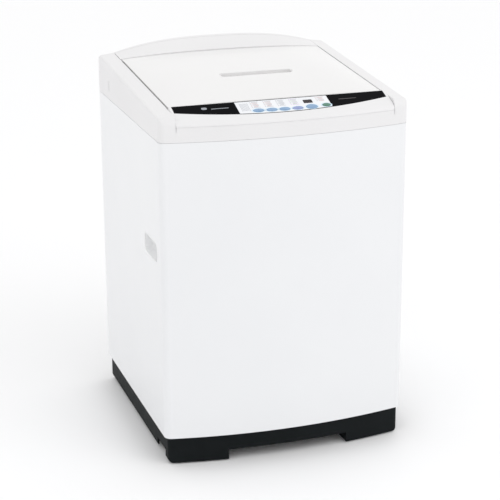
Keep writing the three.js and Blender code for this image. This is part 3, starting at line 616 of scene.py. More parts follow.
def railBlock(side, inner, inset, drop, bottom):
    outer, front = railPlan(inner, inset)
    corner = outer[-1]
    c00, c10, c01 = (inner, inset), outer[0], front[0]

    def place(s, t, isTop):
        s = s if side > 0 else 1 - s
        s, t = 1 - (1 - s) ** 1.8, 0.2 * t + 0.8 * (0.5 - 0.5 * math.cos(math.pi * t))
        o, f = alongPath(outer, t), alongPath(front, s)
        r = (c00[0] + (c10[0] - c00[0]) * s, inset)
        i = (inner, c00[1] + (c01[1] - c00[1]) * t)
        x, v = ((1 - t) * r[k] + t * f[k] + (1 - s) * i[k] + s * o[k]
                - (1 - s) * (1 - t) * c00[k] - s * (1 - t) * c10[k] - (1 - s) * t * c01[k] - s * t * corner[k]
                for k in (0, 1))
        return side * x, fromRear(v), railTop(x, v) - drop if isTop else bottom
    return drapedBlock(cover["railAcross"], cover["railAlong"], place)


def bandBlock():
    half = top["railInner"]

    def place(s, t, isTop):
        x = (2 * s - 1) * half
        back = top["consoleBack"] - cover["bandDepth"]
        return x, fromRear(back + (frontAt(x) - back) * t), top["bandTop"] if isTop else top["seam"]
    return drapedBlock(60, 1, place)


def beamBlock(inset, drop, bottom):
    def place(s, t, isTop):
        x = (2 * s - 1) * (top["railInner"] - inset)
        v = inset + (top["rearCoverFront"] - 0.0003 - 2 * inset) * t
        return x, fromRear(v), (rearArch(x, v + (0.012 if inset else 0)) - drop) if isTop else bottom
    return drapedBlock(cover["archAcross"], 12, place)


def mouthRing():
    r, high, wall = top["mouthRadius"], top["deckHeight"], top["wall"]
    low = high - top["mouthDrop"]
    profile = closed([(r - wall, low), (r - wall, low + 0.026), (r - wall + 0.001, high - 0.010),
                      (r + 0.001, high - 0.004), (r + 0.004, high + 0.0004), (r + 0.008, high + 0.002),
                      (r + 0.013, high + 0.002), (r + 0.018, high + 0.0008), (r + 0.024, high),
                      (r + 0.024, high - wall), (r + 0.012, high - wall), (r + 0.005, high - wall - 0.004),
                      (r + 0.001, high - 0.014), (r, low + 0.026), (r, low)])
    return turned(profile, (0, fromRear(top["tubAxis"])), 96)


def makeTopCover():
    c, t = cover, top
    rails = []
    for side in (-1, 1):
        rail = railBlock(side, t["railInner"], 0, 0, t["seam"])

        def isInnerTop(a, b):
            return all(abs(abs(p.x) - t["railInner"]) < 1e-5 and p.z > t["lipBase"] - 0.002
                       and fromRear(p.y) > c["innerRoundStart"] for p in (a, b))
        rails.append(bevelEdges(rail, isInnerTop, c["innerRound"], 3))
    piece = fuseWith(rails[0], rails[1], bandBlock(), beamBlock(0, 0, t["seam"]))
    low = t["seam"] - c["hollowPast"]
    hollows = [railBlock(side, t["railInner"] + t["wall"], t["wall"], t["wall"], low) for side in (-1, 1)]
    cutWith(piece, *hollows, beamBlock(t["wall"], t["wall"], low))
    deckHalf, deckFront = t["railInner"] + 0.001, t["consoleBack"] - c["bandDepth"] + 0.002
    deck = block((-deckHalf, fromRear(deckFront), t["deckHeight"] - t["deckThick"]),
                 (deckHalf, fromRear(t["rearCoverFront"] - 0.002), t["deckHeight"]))
    cutWith(deck, peg(t["mouthRadius"] + c["ringReach"], 0.7, 0.9, (0, fromRear(t["tubAxis"])), 96))
    fuseWith(piece, fuseWith(deck, mouthRing()))
    for side in (-1, 1):
        xs = sorted((side * (halfWidth - c["slitDepth"]), side * (halfWidth + 0.005)))
        slit = roundedBlock((xs[0], fromRear(c["slitFromRear"] + c["slitHalf"]), c["slitLow"]),
                            (xs[1], fromRear(c["slitFromRear"] - c["slitHalf"]), c["slitHigh"]),
                            c["slitRound"], "x", 3)
        port = layAlongY(peg(t["portHole"], 0, 0.05), (side * t["portX"], fromRear(0.045), t["portZ"]))
        cutWith(piece, slit, port)

    def isLowerOuter(a, b):
        return all(abs(p.z - t["seam"]) < 1e-5 and onOutline(p) for p in (a, b))
    bevelEdges(piece, isLowerOuter, c["lowerRound"], 2)
    # the bevel can push a point out where the corner starts
    for point in piece.data.vertices:
        point.co.x = max(-halfWidth, min(halfWidth, point.co.x))
    return finishPiece(piece, "topCover", "cabinet", "coverPlastic", ["top_cover"])


def onOutline(point):
    x, v = abs(point.x), fromRear(point.y)
    if v < 1e-4 or abs(x - halfWidth) < 1e-4:
        return True
    if x > cornerX and v > cornerV and math.atan2(v - cornerV, x - cornerX) < cornerTurn:
        return abs(math.hypot(x - cornerX, v - cornerV) - plan["cornerRadius"]) < 2e-4
    return abs(v - frontAt(x)) < 2e-4


makeTopCover()
print("top cover made")


# Rear cover between the rails, behind the lid's hinge line

rearCover = dict(half=0.266, lip=0.009, wall=0.0025, round=0.0009, across=40, along=12)


def rearCoverBlock(inset, drop, bottom):
    def place(s, t, isTop):
        x = (2 * s - 1) * (rearCover["half"] - inset)
        start = top["rearCoverFront"] + inset
        v = start + (rearCoverEdge(x) - inset * 2 - start) * t
        return x, fromRear(v), archTop(x, v) - (drop if isTop else bottom)
    return drapedBlock(rearCover["across"], rearCover["along"], place)


def makeRearCover():
    r = rearCover
    piece = roundEdges(rearCoverBlock(0, 0, r["lip"]), r["round"], 2, 50)
    cutWith(piece, rearCoverBlock(r["wall"], r["wall"], 0.020))
    return finishPiece(piece, "rearCover", "cabinet", "coverPlastic", ["rear_cover"])


makeRearCover()
print("rear cover made")


# Lid: domed shell, rounded about its hinge line, ribbed underneath

lidForm = dict(skirt=0.012, wall=0.003, front=0.525, round=0.0012, across=44, along=40, barrelShare=0.2,
               cavityDrop=0.015, cavityStart=0.008, ribEnd=0.002,
               ribDrop=0.010, ribHalf=0.0012, ribX=(-0.21, -0.126, -0.042, 0.042, 0.126, 0.21),
               ribV=(0.17, 0.26, 0.335, 0.40, 0.46))
lidGrip = dict(half=0.092, rear=0.350, front=0.378, deep=0.016, wall=0.0018, clear=0.0003, radius=0.010,
               past=0.004, sink=0.0002, floorRound=0.004, round=0.0005)


def lidBlock(inset, drop, bottom):
    f = lidForm

    def place(s, t, isTop):
        x = (2 * s - 1) * (top["lidHalf"] - inset)
        r = barrel(x)
        hinge = top["hingeFromRear"]
        if t < f["barrelShare"]:
            v = hinge - r + inset + (r - inset) * math.sin(t / f["barrelShare"] * math.pi / 2) ** 2
        else:
            v = hinge + (f["front"] - inset - hinge) * (t - f["barrelShare"]) / (1 - f["barrelShare"])
        back = max(hinge - v, 0)
        z = top["hingeHeight"] + math.sqrt(max(r * r - back * back, 0)) if back > 0 else lidTop(x, v)
        under = top["hingeHeight"] - 0.002 if back > 0 else lidTop(x, v) - f["skirt"]
        if isTop:
            return x, fromRear(v), z - drop
        return x, fromRear(v), min(z - 0.0005, max(under, z - f["skirt"])) - bottom
    return drapedBlock(f["across"], f["along"], place)


def lidRib(x0, x1, v0, v1):
    def place(s, t, isTop):
        x, v = x0 + (x1 - x0) * s, v0 + (v1 - v0) * t
        return x, fromRear(v), lidTop(x, v) - (lidForm["wall"] * 0.6 if isTop else lidForm["ribDrop"])
    lengthwise = v1 - v0 > x1 - x0
    return drapedBlock(1 if lengthwise else 24, 24 if lengthwise else 1, place)


def makeLid():
    f = lidForm
    piece = roundEdges(lidBlock(0, 0, 0), f["round"], 3, 50)
    inside = lidBlock(f["wall"], f["wall"], f["cavityDrop"])
    start = top["hingeFromRear"] + f["cavityStart"]
    cutWith(piece, cutWith(inside, block((-0.3, fromRear(start), 0.6), (0.3, rearY, 1.0))))
    half, start, end = top["lidHalf"] - f["ribEnd"], start - 0.001, f["front"] - f["ribEnd"]
    ribs = [lidRib(x - f["ribHalf"], x + f["ribHalf"], start, end) for x in f["ribX"]]
    ribs += [lidRib(-half, half, v - f["ribHalf"], v + f["ribHalf"]) for v in f["ribV"]]
    fuseWith(piece, *ribs)
    cutWith(piece, gripWell(0, 0.8))
    return finishPiece(piece, "lidShell", "lid", "lidPlastic", ["lid"])


def gripWell(inset, low):
    g = lidGrip
    half = g["half"] - inset
    return roundedBlock((-half, fromRear(g["front"]) + inset, low), (half, fromRear(g["rear"]) - inset, 1.0),
                        g["radius"] - inset, "z", 6)


def makeLidGrip():
    g = lidGrip
    low = lidMiddle(g["front"]) - g["deep"]

    def place(s, t, isTop):
        past = g["past"]
        x, v = (2 * s - 1) * (g["half"] + past), g["rear"] - past + (g["front"] - g["rear"] + 2 * past) * t
        return x, fromRear(v), lidTop(x, v) - g["sink"] if isTop else low - 0.02
    piece = keepWithin(gripWell(g["clear"], low), drapedBlock(24, 6, place))
    inside = gripWell(g["clear"] + g["wall"], low + g["wall"])

    def isFloorEdge(a, b):
        return all(abs(p.z - low - g["wall"]) < 1e-5 for p in (a, b))
    bevelEdges(inside, isFloorEdge, g["floorRound"], 4)
    cutWith(piece, inside)
    roundEdges(piece, g["round"], 2, 50)
    return finishPiece(piece, "lidGrip", "lid", "lidPlastic", ["lid_grip"])


makeLid()
makeLidGrip()
print("lid made")


# Control console and what is set into it

console = dict(half=0.2667, wall=0.003, round=0.0010, across=59, along=22)
panel = dict(half=0.260, depth=0.059, bow=0.031, thick=0.0017, gap=0.0003, labelLeft=-0.110, labelRight=0.116,
             labelThick=0.0005, labelInset=0.0025, start=0.002, cutReach=0.02, round=0.0004)
displayForm = dict(x=0.0645, s=0.0213, halfX=0.0108, halfY=0.007, radius=0.0008, thick=0.003, proud=0.0002,
                   digitX=(-0.0052, 0.0012, 0.0068), digitHalf=0.0019, digitHigh=0.0042, barHalf=0.0004,
                   barTop=0.00026)
buttonForm = dict(proud=0.0014, tall=0.009, steps=40, clear=0.0003)
buttonSpots = [
    (-0.063, 0.0435, 0.0132, 0.0068, "buttonBlue", "button_blue"),
    (-0.031, 0.0448, 0.0130, 0.0068, "buttonBlue", "button_blue"),
    (0.0, 0.0458, 0.0130, 0.0068, "buttonBlue", "button_blue"),
    (0.032, 0.0463, 0.0130, 0.0066, "buttonViolet", "button_violet"),
    (0.067, 0.0448, 0.0138, 0.0092, "buttonBlue", "button_blue"),
    (0.104, 0.0425, 0.0102, 0.0068, "buttonGreen", "button_green"),
]


def slopePoint(x, s):
    v = top["consoleBack"] + panel["start"] + s * math.cos(top["consoleTilt"])
    return Vector((x, fromRear(v), slopeZ(v)))


def panelFront(x):
    return panel["depth"] - panel["bow"] * (x / panel["half"]) ** 2


def slab(x0, x1, s0, sEnd, above, below, across=47):
    # a panel-shaped block on the slope, between two depths below it
    def place(s, t, isTop):
        x = x0 + (x1 - x0) * s
        return slopePoint(x, s0 + (sEnd(x) - s0) * t) - Vector((0, 0, above if isTop else below))
    return drapedBlock(across, 1, place)


def setOnSlope(piece, x, s):
    piece.rotation_euler = (top["consoleTilt"], 0, 0)
    piece.location = slopePoint(x, s)
    return placeInMesh(piece)


def flatBlock(halfX, halfY, low, high, radius, segments):
    return roundedBlock((-halfX, -halfY, low), (halfX, halfY, high), radius, "z", segments)


def ovalPeg(x, s, halfX, halfY, grow):
    cutter = peg(1, -panel["cutReach"], panel["cutReach"], steps=buttonForm["steps"])
    cutter.scale = (halfX + grow, halfY + grow, 1)
    return setOnSlope(cutter, x, s)


def ovalCuts(grow):
    return [ovalPeg(*spot[:4], grow) for spot in buttonSpots]


def windowCut(grow):
    d = displayForm
    reach = panel["cutReach"]
    cutter = flatBlock(d["halfX"] + grow, d["halfY"] + grow, -reach, reach, d["radius"], 2)
    return setOnSlope(cutter, d["x"], d["s"])


def consoleBlock(inset, drop, bottom):
    def place(s, t, isTop):
        x = (2 * s - 1) * (console["half"] - inset)
        ease = 1 - (1 - t) ** 2
        back = top["consoleBack"] + inset
        v = back + (frontAt(x) - 2 * inset - back) * ease
        z = roundedDown(x, v + inset, slopeZ(v))
        return x, fromRear(v), max(z - drop, bottom + 0.0002) if isTop else bottom
    return drapedBlock(console["across"], console["along"], place)


def makeConsole():
    c = console
    base = top["bandTop"] + 0.0003
    piece = consoleBlock(0, 0, base)

    def isEnd(a, b):
        return all(abs(abs(p.x) - c["half"]) < 1e-5 for p in (a, b))

    def isBack(a, b):
        return all(abs(fromRear(p.y) - top["consoleBack"]) < 1e-5 and p.z > base + 0.001 for p in (a, b))
    bevelEdges(piece, lambda a, b: isEnd(a, b) or isBack(a, b), c["round"], 3)
    cutWith(piece, consoleBlock(c["wall"], c["wall"] + 0.002, base - 0.01))
    p = panel
    cutWith(piece, slab(-p["half"] - p["gap"], p["half"] + p["gap"], -p["gap"],
                        lambda x: panelFront(x) + p["gap"], -0.005, p["thick"] + p["gap"]))
    cutWith(piece, *ovalCuts(0.0005), windowCut(0.001))
    return finishPiece(piece, "controlConsole", "cabinet", "coverPlastic", ["control_console"])


def makePanel():
    p = panel
    piece = roundEdges(slab(-p["half"], p["half"], 0, panelFront, 0, p["thick"]), p["round"], 2, 50)
    pocket = slab(p["labelLeft"] - p["gap"], p["labelRight"] + p["gap"], p["labelInset"] - p["gap"],
                  lambda x: panelFront(x) - p["labelInset"] + p["gap"], -0.005, p["labelThick"] + p["gap"])
    cutWith(piece, pocket, *ovalCuts(p["gap"]), windowCut(p["gap"]))
    finishPiece(piece, "panelOverlay", "cabinet", "panelGloss", ["panel_overlay"])
    label = slab(p["labelLeft"], p["labelRight"], p["labelInset"], lambda x: panelFront(x) - p["labelInset"],
                 0, p["labelThick"])
    cutWith(label, *ovalCuts(p["gap"]), windowCut(p["gap"]))
    finishPiece(label, "panelLabel", "cabinet", "labelFilm", ["panel_label"])


def makeDisplay():
    d = displayForm
    glass = flatBlock(d["halfX"], d["halfY"], -d["thick"], d["proud"], d["radius"], 2)
    roundEdges(glass, d["proud"], 2, 50)
    setOnSlope(glass, d["x"], d["s"])
    finishPiece(glass, "displayWindow", "cabinet", "displayDark", ["display_window"])
    bars = []
    half, high, thin = d["digitHalf"], d["digitHigh"], d["barHalf"]
    spots = [(0, y, 0.0014, thin) for y in (high, 0, -high)]
    spots += [(x, y, thin, 0.0015) for y in (high / 2, -high / 2) for x in (-half, half)]
    for centre in d["digitX"]:
        for x, y, halfX, halfY in spots:
            bar = roundedBlock((centre + x - halfX, y - halfY, 0.0001),
                               (centre + x + halfX, y + halfY, d["barTop"]), 0.0003, "z", 1)
            bars.append(setOnSlope(bar, d["x"], d["s"]))
    finishPiece(gather(bars), "displaySegments", "cabinet", "segmentDim")


def makeButtons():
    b = buttonForm
    for i, (x, s, halfX, halfY, finish, slot) in enumerate(buttonSpots):
        edge = b["proud"]
        profile = [(0, edge), (0.35, edge - 0.00003), (0.62, edge - 0.00012), (0.74, edge - 0.0003),
                   (0.80, edge - 0.0005), (0.86, edge - 0.0003), (0.92, edge - 0.00032), (0.97, edge - 0.0007),
                   (1, edge - 0.0014), (1, edge - b["tall"]), (0, edge - b["tall"])]
        piece = turned(profile, steps=b["steps"])
        piece.scale = (halfX, halfY, 1)
        setOnSlope(piece, x, s)
        name = "button_%d" % (i + 1)
        finishPiece(piece, "button%d" % (i + 1), name, finish, [name])


legend = dict(lift=0.00003, thick=0.00012, haloGrow=0.0038, haloAlong=0.0022, haloClear=0.0004,
              ruleX=-0.1005, ruleS=0.0265, ruleStep=0.0031, ruleHalf=0.00035, ruleReach=0.0165,
              rowStart=0.0075, rowStep=0.0038, dot=0.0008, dotAside=0.0105, barReach=0.0078, barHalf=0.00055)
legendColumns = [(-0.063, 7, "legendGrey", "legendRed"), (-0.031, 7, "legendGrey", "legendRed"),
                 (0.0, 7, "legendGrey", "legendGrey"), (0.032, 7, "legendViolet", "legendGreen"),
                 (0.098, 5, "legendRed", "legendGrey")]


def mark(x, s, halfX, halfY):
    piece = block((-halfX, -halfY, legend["lift"]), (halfX, halfY, legend["lift"] + legend["thick"]))
    return setOnSlope(piece, x, s)


def roundMark(x, s, halfX, halfY, radius, segments=4):
    low = legend["lift"]
    return setOnSlope(flatBlock(halfX, halfY, low, low + legend["thick"], radius, segments), x, s)


def makeHalos():
    halos = []
    g = legend
    inner = buttonForm["clear"] + g["haloClear"]
    high = g["lift"] + g["thick"] * 0.6
    for x, s, halfX, halfY, _, _ in buttonSpots:
        ring = turned(closed([(1, 0), (1, high), (2, high), (2, 0)]), steps=buttonForm["steps"])
        for point in ring.data.vertices:
            outer = math.hypot(point.co.x, point.co.y) > 1.5
            unit = 0.5 if outer else 1
            spread = g["haloGrow"] * (0.75 if s + halfY > 0.052 else 1) if outer else inner
            point.co.x *= unit * (halfX + spread)
            point.co.y *= unit * (halfY + min(spread, g["haloAlong"]) if outer else halfY + inner)
        halos.append(setOnSlope(ring, x, s))
    finishPiece(gather(halos), "buttonHalos", "cabinet", "haloCyan")


def makeLegend():
    # generic marks only: short bars and dots in columns over the buttons, and a block of fine ruling
    g = legend
    ruling = [mark(g["ruleX"] + g["ruleStep"] * i, g["ruleS"], g["ruleHalf"], g["ruleReach"] - 0.0006 * (i % 3))
              for i in range(7)]
    rows = {"legendGrey": ruling, "legendRed": [], "legendViolet": [], "legendGreen": []}
    for x, count, first, second in legendColumns:
        for i in range(count):
            s = g["rowStart"] + g["rowStep"] * i
            dot = mark(x - g["dotAside"], s, g["dot"], g["dot"])
            bar = mark(x + 0.0005 - 0.0012 * (i % 2), s, g["barReach"] - 0.0013 * (i % 3), g["barHalf"])
            rows[second if i % 3 == 1 else first].append(dot)
            rows[second if i % 2 else first].append(bar)
    for finish, marks in rows.items():
        finishPiece(gather(marks), finish[0].lower() + finish[1:] + "Marks", "cabinet", finish)
    plain = [roundMark(-0.187, 0.0185, 0.0068, 0.0046, 0.0045, 6),
             roundMark(-0.150, 0.0225, 0.021, 0.0011, 0.0010)]
    finishPiece(gather(plain), "panelPlainMarks", "cabinet", "legendGrey")
    faint = roundMark(0.163, 0.0225, 0.022, 0.0009, 0.0008)
    finishPiece(faint, "panelFaintMark", "cabinet", "segmentDim")


makeConsole()
makePanel()
makeDisplay()
makeButtons()
makeHalos()
makeLegend()
print("console made")


# Side grips: a cup set into the steel, with a lip behind the sheet

sideGrip = dict(depth=0.028, wall=0.0022, lip=0.007, lipThick=0.002, lipGap=0.0003, deepRound=0.010,
                round=0.0006)


def makeSideGrips():
    g = sideGrip
    cup = gripBlock(1, 0, g["depth"], 0)
    back = halfWidth - cabinet["sheet"] - g["lipGap"]
    o = gripOpening
    lip = roundedBlock((back - g["lipThick"], fromRear(o["front"] + g["lip"]), o["low"] - g["lip"]),
                       (back, fromRear(o["rear"] - g["lip"]), o["high"] + g["lip"]),
                       o["radius"] + g["lip"], "x", 6)
    piece = fuseWith(cup, lip)
    room = gripBlock(1, -g["wall"], g["depth"] - g["wall"])

    def isDeepEdge(a, b):
        return all(abs(p.x - halfWidth + g["depth"] - g["wall"]) < 1e-5 for p in (a, b))
    bevelEdges(room, isDeepEdge, g["deepRound"], 5)
    cutWith(piece, room)
    roundEdges(piece, g["round"], 2, 50)
    twin = mirroredCopy(piece)
    finishPiece(piece, "sideGripRight", "cabinet", "gripPlastic", ["side_grip_right"])
    finishPiece(twin, "sideGripLeft", "cabinet", "gripPlastic", ["side_grip_left"])


makeSideGrips()
print("side grips made")


# Base moulding with its foot blocks, and the levelling feet

baseForm = dict(inset=0.007, wall=0.005, bottom=0.003, height=0.069, skirtFront=0.027, skirtSide=0.008,
                skirtEnd=0.478, blockInner=0.152, blockRear=0.552, rearBlockInner=0.210, rearBlockDepth=0.090,
                panLow=0.040, panHigh=0.043, panHoleHalf=0.150, panHoleRear=0.150, panHoleFront=0.480,
                round=0.0014, footRound=0.012, wellGrow=0.0015, stemGrow=0.0005, wellDeep=0.008, wellTop=0.080)
footForm = dict(pad=0.015, stem=0.005, high=0.050, threadStart=0.012, turns=13)


def footPlace(number):
    low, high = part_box("levelling_foot_%d" % number)
    return (low.x + high.x) / 2, (low.y + high.y) / 2, (high.x - low.x) / 2 / math.cos(math.pi / 14)


def makeBase():
    b, f = baseForm, footForm
    ring = plate(fullOutline(b["inset"]), b["bottom"], b["height"])
    inner = plate(fullOutline(b["inset"] + b["wall"]), b["bottom"] - 0.001, b["height"] + 0.001)
    walls = cutWith(ring, inner)
    past = depth + 0.01
    cutWith(walls, block((-0.4, fromRear(past), 0), (0.4, fromRear(b["skirtEnd"]), b["skirtFront"] + 0.001)),
            block((-0.4, fromRear(depth), 0), (0.4, rearY + 0.001, b["skirtSide"])))
    half = b["panHoleHalf"]
    pan = cutWith(plate(fullOutline(b["inset"] + 0.001), b["panLow"], b["panHigh"]),
                  block((-half, fromRear(b["panHoleFront"]), 0.030), (half, fromRear(b["panHoleRear"]), 0.050)))
    parts = []
    for side in (-1, 1):
        for inner, front, rear in ((b["blockInner"], fromRear(past), fromRear(b["blockRear"])),
                                   (b["rearBlockInner"], fromRear(b["rearBlockDepth"]), rearY + 0.01)):
            xs = sorted((side * inner, side * 0.4))
            parts.append(keepWithin(plate(fullOutline(b["inset"]), b["bottom"], b["height"]),
                                    block((xs[0], front, 0), (xs[1], rear, 0.1))))
    piece = fuseWith(walls, pan, *parts)
    for number in range(1, 5):
        x, y, pad = footPlace(number)
        wide, narrow, roof = pad + b["wellGrow"], f["stem"] + b["stemGrow"], b["bottom"] + b["wellDeep"]
        cutWith(piece, turned([(0, 0.001), (wide, 0.001), (wide, roof), (narrow, roof), (narrow, b["wellTop"]),
                               (0, b["wellTop"])], (x, y), 32))
    reach = halfWidth - b["inset"] + 0.0002
    keepWithin(piece, roundedBlock((-reach, fromRear(past), b["bottom"] - 0.0002), (reach, rearY + 0.01, 0.2),
                                   b["footRound"], "y", 8))
    roundEdges(piece, b["round"], 2, 50)
    return finishPiece(piece, "baseFrame", "cabinet", "basePlastic", ["base_frame"])


def makeFeet():
    f = footForm
    r, s = f["pad"], f["stem"]
    profile = [(0, 0), (r - 0.004, 0), (r - 0.0032, 0.0006), (r - 0.0016, 0.0006), (r - 0.0008, 0.0012),
               (r, 0.0020), (r, 0.0030), (r - 0.0008, 0.0034), (r - 0.0008, 0.0040), (r, 0.0044), (r, 0.0054),
               (r - 0.0012, 0.0068), (r - 0.004, 0.0072), (s + 0.003, 0.0084), (s, 0.0094)]
    for i in range(f["turns"]):
        z = f["threadStart"] + (f["high"] - f["threadStart"] - 0.002) * i / f["turns"]
        profile += [(s, z), (s - 0.0006, z + 0.0014)]
    profile += [(s, f["high"] - 0.001), (s - 0.001, f["high"]), (0, f["high"])]
    master = turned(profile, steps=40)
    feet = copiesAt(master, [(*footPlace(number)[:2], 0) for number in range(1, 5)])
    for number, foot in enumerate(feet, 1):
        finishPiece(foot, "levellingFoot%d" % number, "foot_%d" % number, "rubber",
                    ["levelling_foot_%d" % number])


makeBase()
makeFeet()
print("base made")


# Rear: stamped sheet, screws, water inlets, drain outlet and cord gland

rearForm = dict(stampDeep=0.0050, stampHalf=0.016, stampX=(-0.15, -0.05, 0.05, 0.15), stampLow=0.14,
                stampHigh=0.66, stampSide=0.006, stampEnd=0.012, across=96, along=72,
                drain=(0.250, 0.715, 0.019), gland=(-0.240, 0.735, 0.0093),
                screwX=0.270, screwZ=(0.10, 0.27, 0.44, 0.61, 0.775),
                innerScrewX=0.1, innerScrewZ=(0.085, 0.775))


def softStep(value):
    value = min(max(value, 0), 1)
    return value * value * (3 - 2 * value)


def makeRearPanel():
    r = rearForm
    low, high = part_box("rear_panel")
    thick = high.y - low.y

    def stamped(x, z):
        side = min(abs(x - c) for c in r["stampX"])
        across = softStep((r["stampHalf"] + r["stampSide"] - side) / r["stampSide"])
        along = softStep((z - r["stampLow"]) / r["stampEnd"]) * softStep((r["stampHigh"] - z) / r["stampEnd"])
        return r["stampDeep"] * across * along

    def place(s, t, isTop):
        x, z = low.x + (high.x - low.x) * s, low.z + (high.z - low.z) * t
        return x, (high.y if isTop else high.y - thick) - stamped(x, z), z
    piece = drapedBlock(r["across"], r["along"], place)
    for x, z, radius in (r["drain"], r["gland"]):
        cutWith(piece, layAlongY(peg(radius, 0, 0.03, steps=40), (x, fromRear(0.015), z)))
    finishPiece(piece, "rearPanel", "cabinet", "galvanised", ["rear_panel"])
    head = turned([(0, 0), (0.0042, 0), (0.0045, 0.0003), (0.0042, 0.0009), (0.0028, 0.0014), (0.0010, 0.0016),
                   (0, 0.0016)], steps=20)
    cutWith(head, block((-0.0026, -0.0004, 0.0010), (0.0026, 0.0004, 0.0020)),
            block((-0.0004, -0.0026, 0.0010), (0.0004, 0.0026, 0.0020)))
    layAlongY(head)
    columns = [(r["screwX"], r["screwZ"]), (r["innerScrewX"], r["innerScrewZ"])]
    screws = copiesAt(head, [(side * x, high.y, z) for x, zs in columns for side in (-1, 1) for z in zs])
    finishPiece(gather(screws), "rearScrews", "cabinet", "steelBright")


def makeInlets():
    low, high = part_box("inlet_valve")
    body = roundedBlock((low.x, fromRear(0.050), low.z), (high.x, fromRear(0.024), high.z), 0.004, "z", 4)
    roundEdges(body, 0.0012, 2, 50)
    thread = [(0.0085, 0), (0.0112, 0)]
    for i in range(7):
        z = 0.0010 + 0.0020 * i
        thread += [(0.0112, z), (0.0124, z + 0.0010)]
    thread += [(0.0112, 0.0152), (0.0112, 0.018), (0.0125, 0.0185), (0.0125, 0.029), (0.0060, 0.029),
               (0.0060, 0.021), (0.0085, 0.021)]
    port = layAlongY(turned(closed(thread), steps=40), towardsFront=True)
    ports = copiesAt(port, [(side * top["portX"], fromRear(0.001), top["portZ"]) for side in (-1, 1)])
    coil = turned([(0, 0.0), (0.013, 0.0), (0.0135, 0.001), (0.0135, 0.020), (0.0125, 0.022), (0.006, 0.022),
                   (0.006, 0.026), (0, 0.026)], steps=32)
    layAlongY(coil, towardsFront=True)
    coils = copiesAt(coil, [(side * top["portX"], fromRear(0.049), top["portZ"]) for side in (-1, 1)])
    piece = gather([body, *ports, *coils])
    return finishPiece(piece, "inletValve", "cabinet", "pulsatorPlastic", ["inlet_valve"])


def makeOutlets():
    x, z, _ = rearForm["drain"]
    barb = [(0.012, 0.0), (0.0150, 0.0)]
    for i in range(3):
        at = 0.001 + 0.0010 * i
        barb += [(0.0150, at), (0.0168, at + 0.0008)]
    barb += [(0.0150, 0.0042), (0.0250, 0.0042), (0.0258, 0.0048), (0.0258, 0.0054), (0.0250, 0.0058),
             (0.0170, 0.0062), (0.0170, 0.0195), (0.012, 0.0195)]
    port = layAlongY(turned(closed(barb), steps=48), (x, fromRear(0.0005), z), True)
    finishPiece(port, "drainPort", "cabinet", "darkPlastic", ["drain_port"])
    x, z, _ = rearForm["gland"]
    bush = turned(closed([(0.004, 0), (0.0060, 0), (0.0072, 0.0012), (0.0080, 0.0032), (0.0134, 0.0036),
                          (0.0140, 0.0042), (0.0140, 0.0058), (0.0132, 0.0064), (0.0088, 0.0066),
                          (0.0088, 0.0135), (0.004, 0.0135)]), steps=40)
    layAlongY(bush, (x, fromRear(0.0005), z), True)
    finishPiece(bush, "cordGland", "cabinet", "rubber", ["cord_gland"])


makeRearPanel()
makeInlets()
makeOutlets()
print("rear made")


# Seen through the mouth: tub ring, balance ring, perforated basket, pulsator, lint filter

drum = dict(radius=0.214, wall=0.001, bottom=0.215, high=0.702, columns=112, rows=38, corner=0.028,
            cornerSteps=8, holeInset=0.0038, plainEvery=14, ringRadius=0.240)
tubAxis = (0, fromRear(top["tubAxis"]))


def makeBasket():
    d = drum
    r, low, corner = d["radius"] - 0.0001, d["bottom"], d["corner"]
    profile = [(0.012, low), (0.06, low), (0.12, low + 0.0006)]
    turns = [i * math.pi / 2 / d["cornerSteps"] for i in range(d["cornerSteps"] + 1)]
    profile += [(r - corner + corner * math.sin(a), low + corner * (1 - math.cos(a))) for a in turns]
    wallLow = low + corner
    profile += [(r, wallLow + (d["high"] - wallLow) * i / d["rows"]) for i in range(1, d["rows"] + 1)]
    piece = turned(profile, tubAxis, d["columns"])
    step = (d["high"] - wallLow) / d["rows"]
    centre = Vector((*tubAxis, 0))

    def isHoled(face):
        offset = face.center - centre
        if math.hypot(offset.x, offset.y) < r - 0.003 or not 0 <= face.center.z - wallLow < d["high"] - wallLow:
            return False
        row = int((face.center.z - wallLow) / step)
        column = int((math.atan2(offset.y, offset.x) / (2 * math.pi) % 1) * d["columns"])
        return 1 < row < d["rows"] - 2 and (row + column) % 2 == 0 and column % d["plainEvery"] not in (0, 1)
    turnSheetOut(piece)
    pickFaces(piece, isHoled)
    bpy.ops.mesh.inset(thickness=d["holeInset"], use_individual=True)
    bpy.ops.mesh.delete(type="FACE")
    bpy.ops.object.mode_set(mode="OBJECT")
    applyModifier(piece, "SOLIDIFY", thickness=d["wall"] - 0.0001, offset=-1, use_even_offset=True)
    finishPiece(piece, "washBasket", "basket", "stainless", ["wash_basket"])


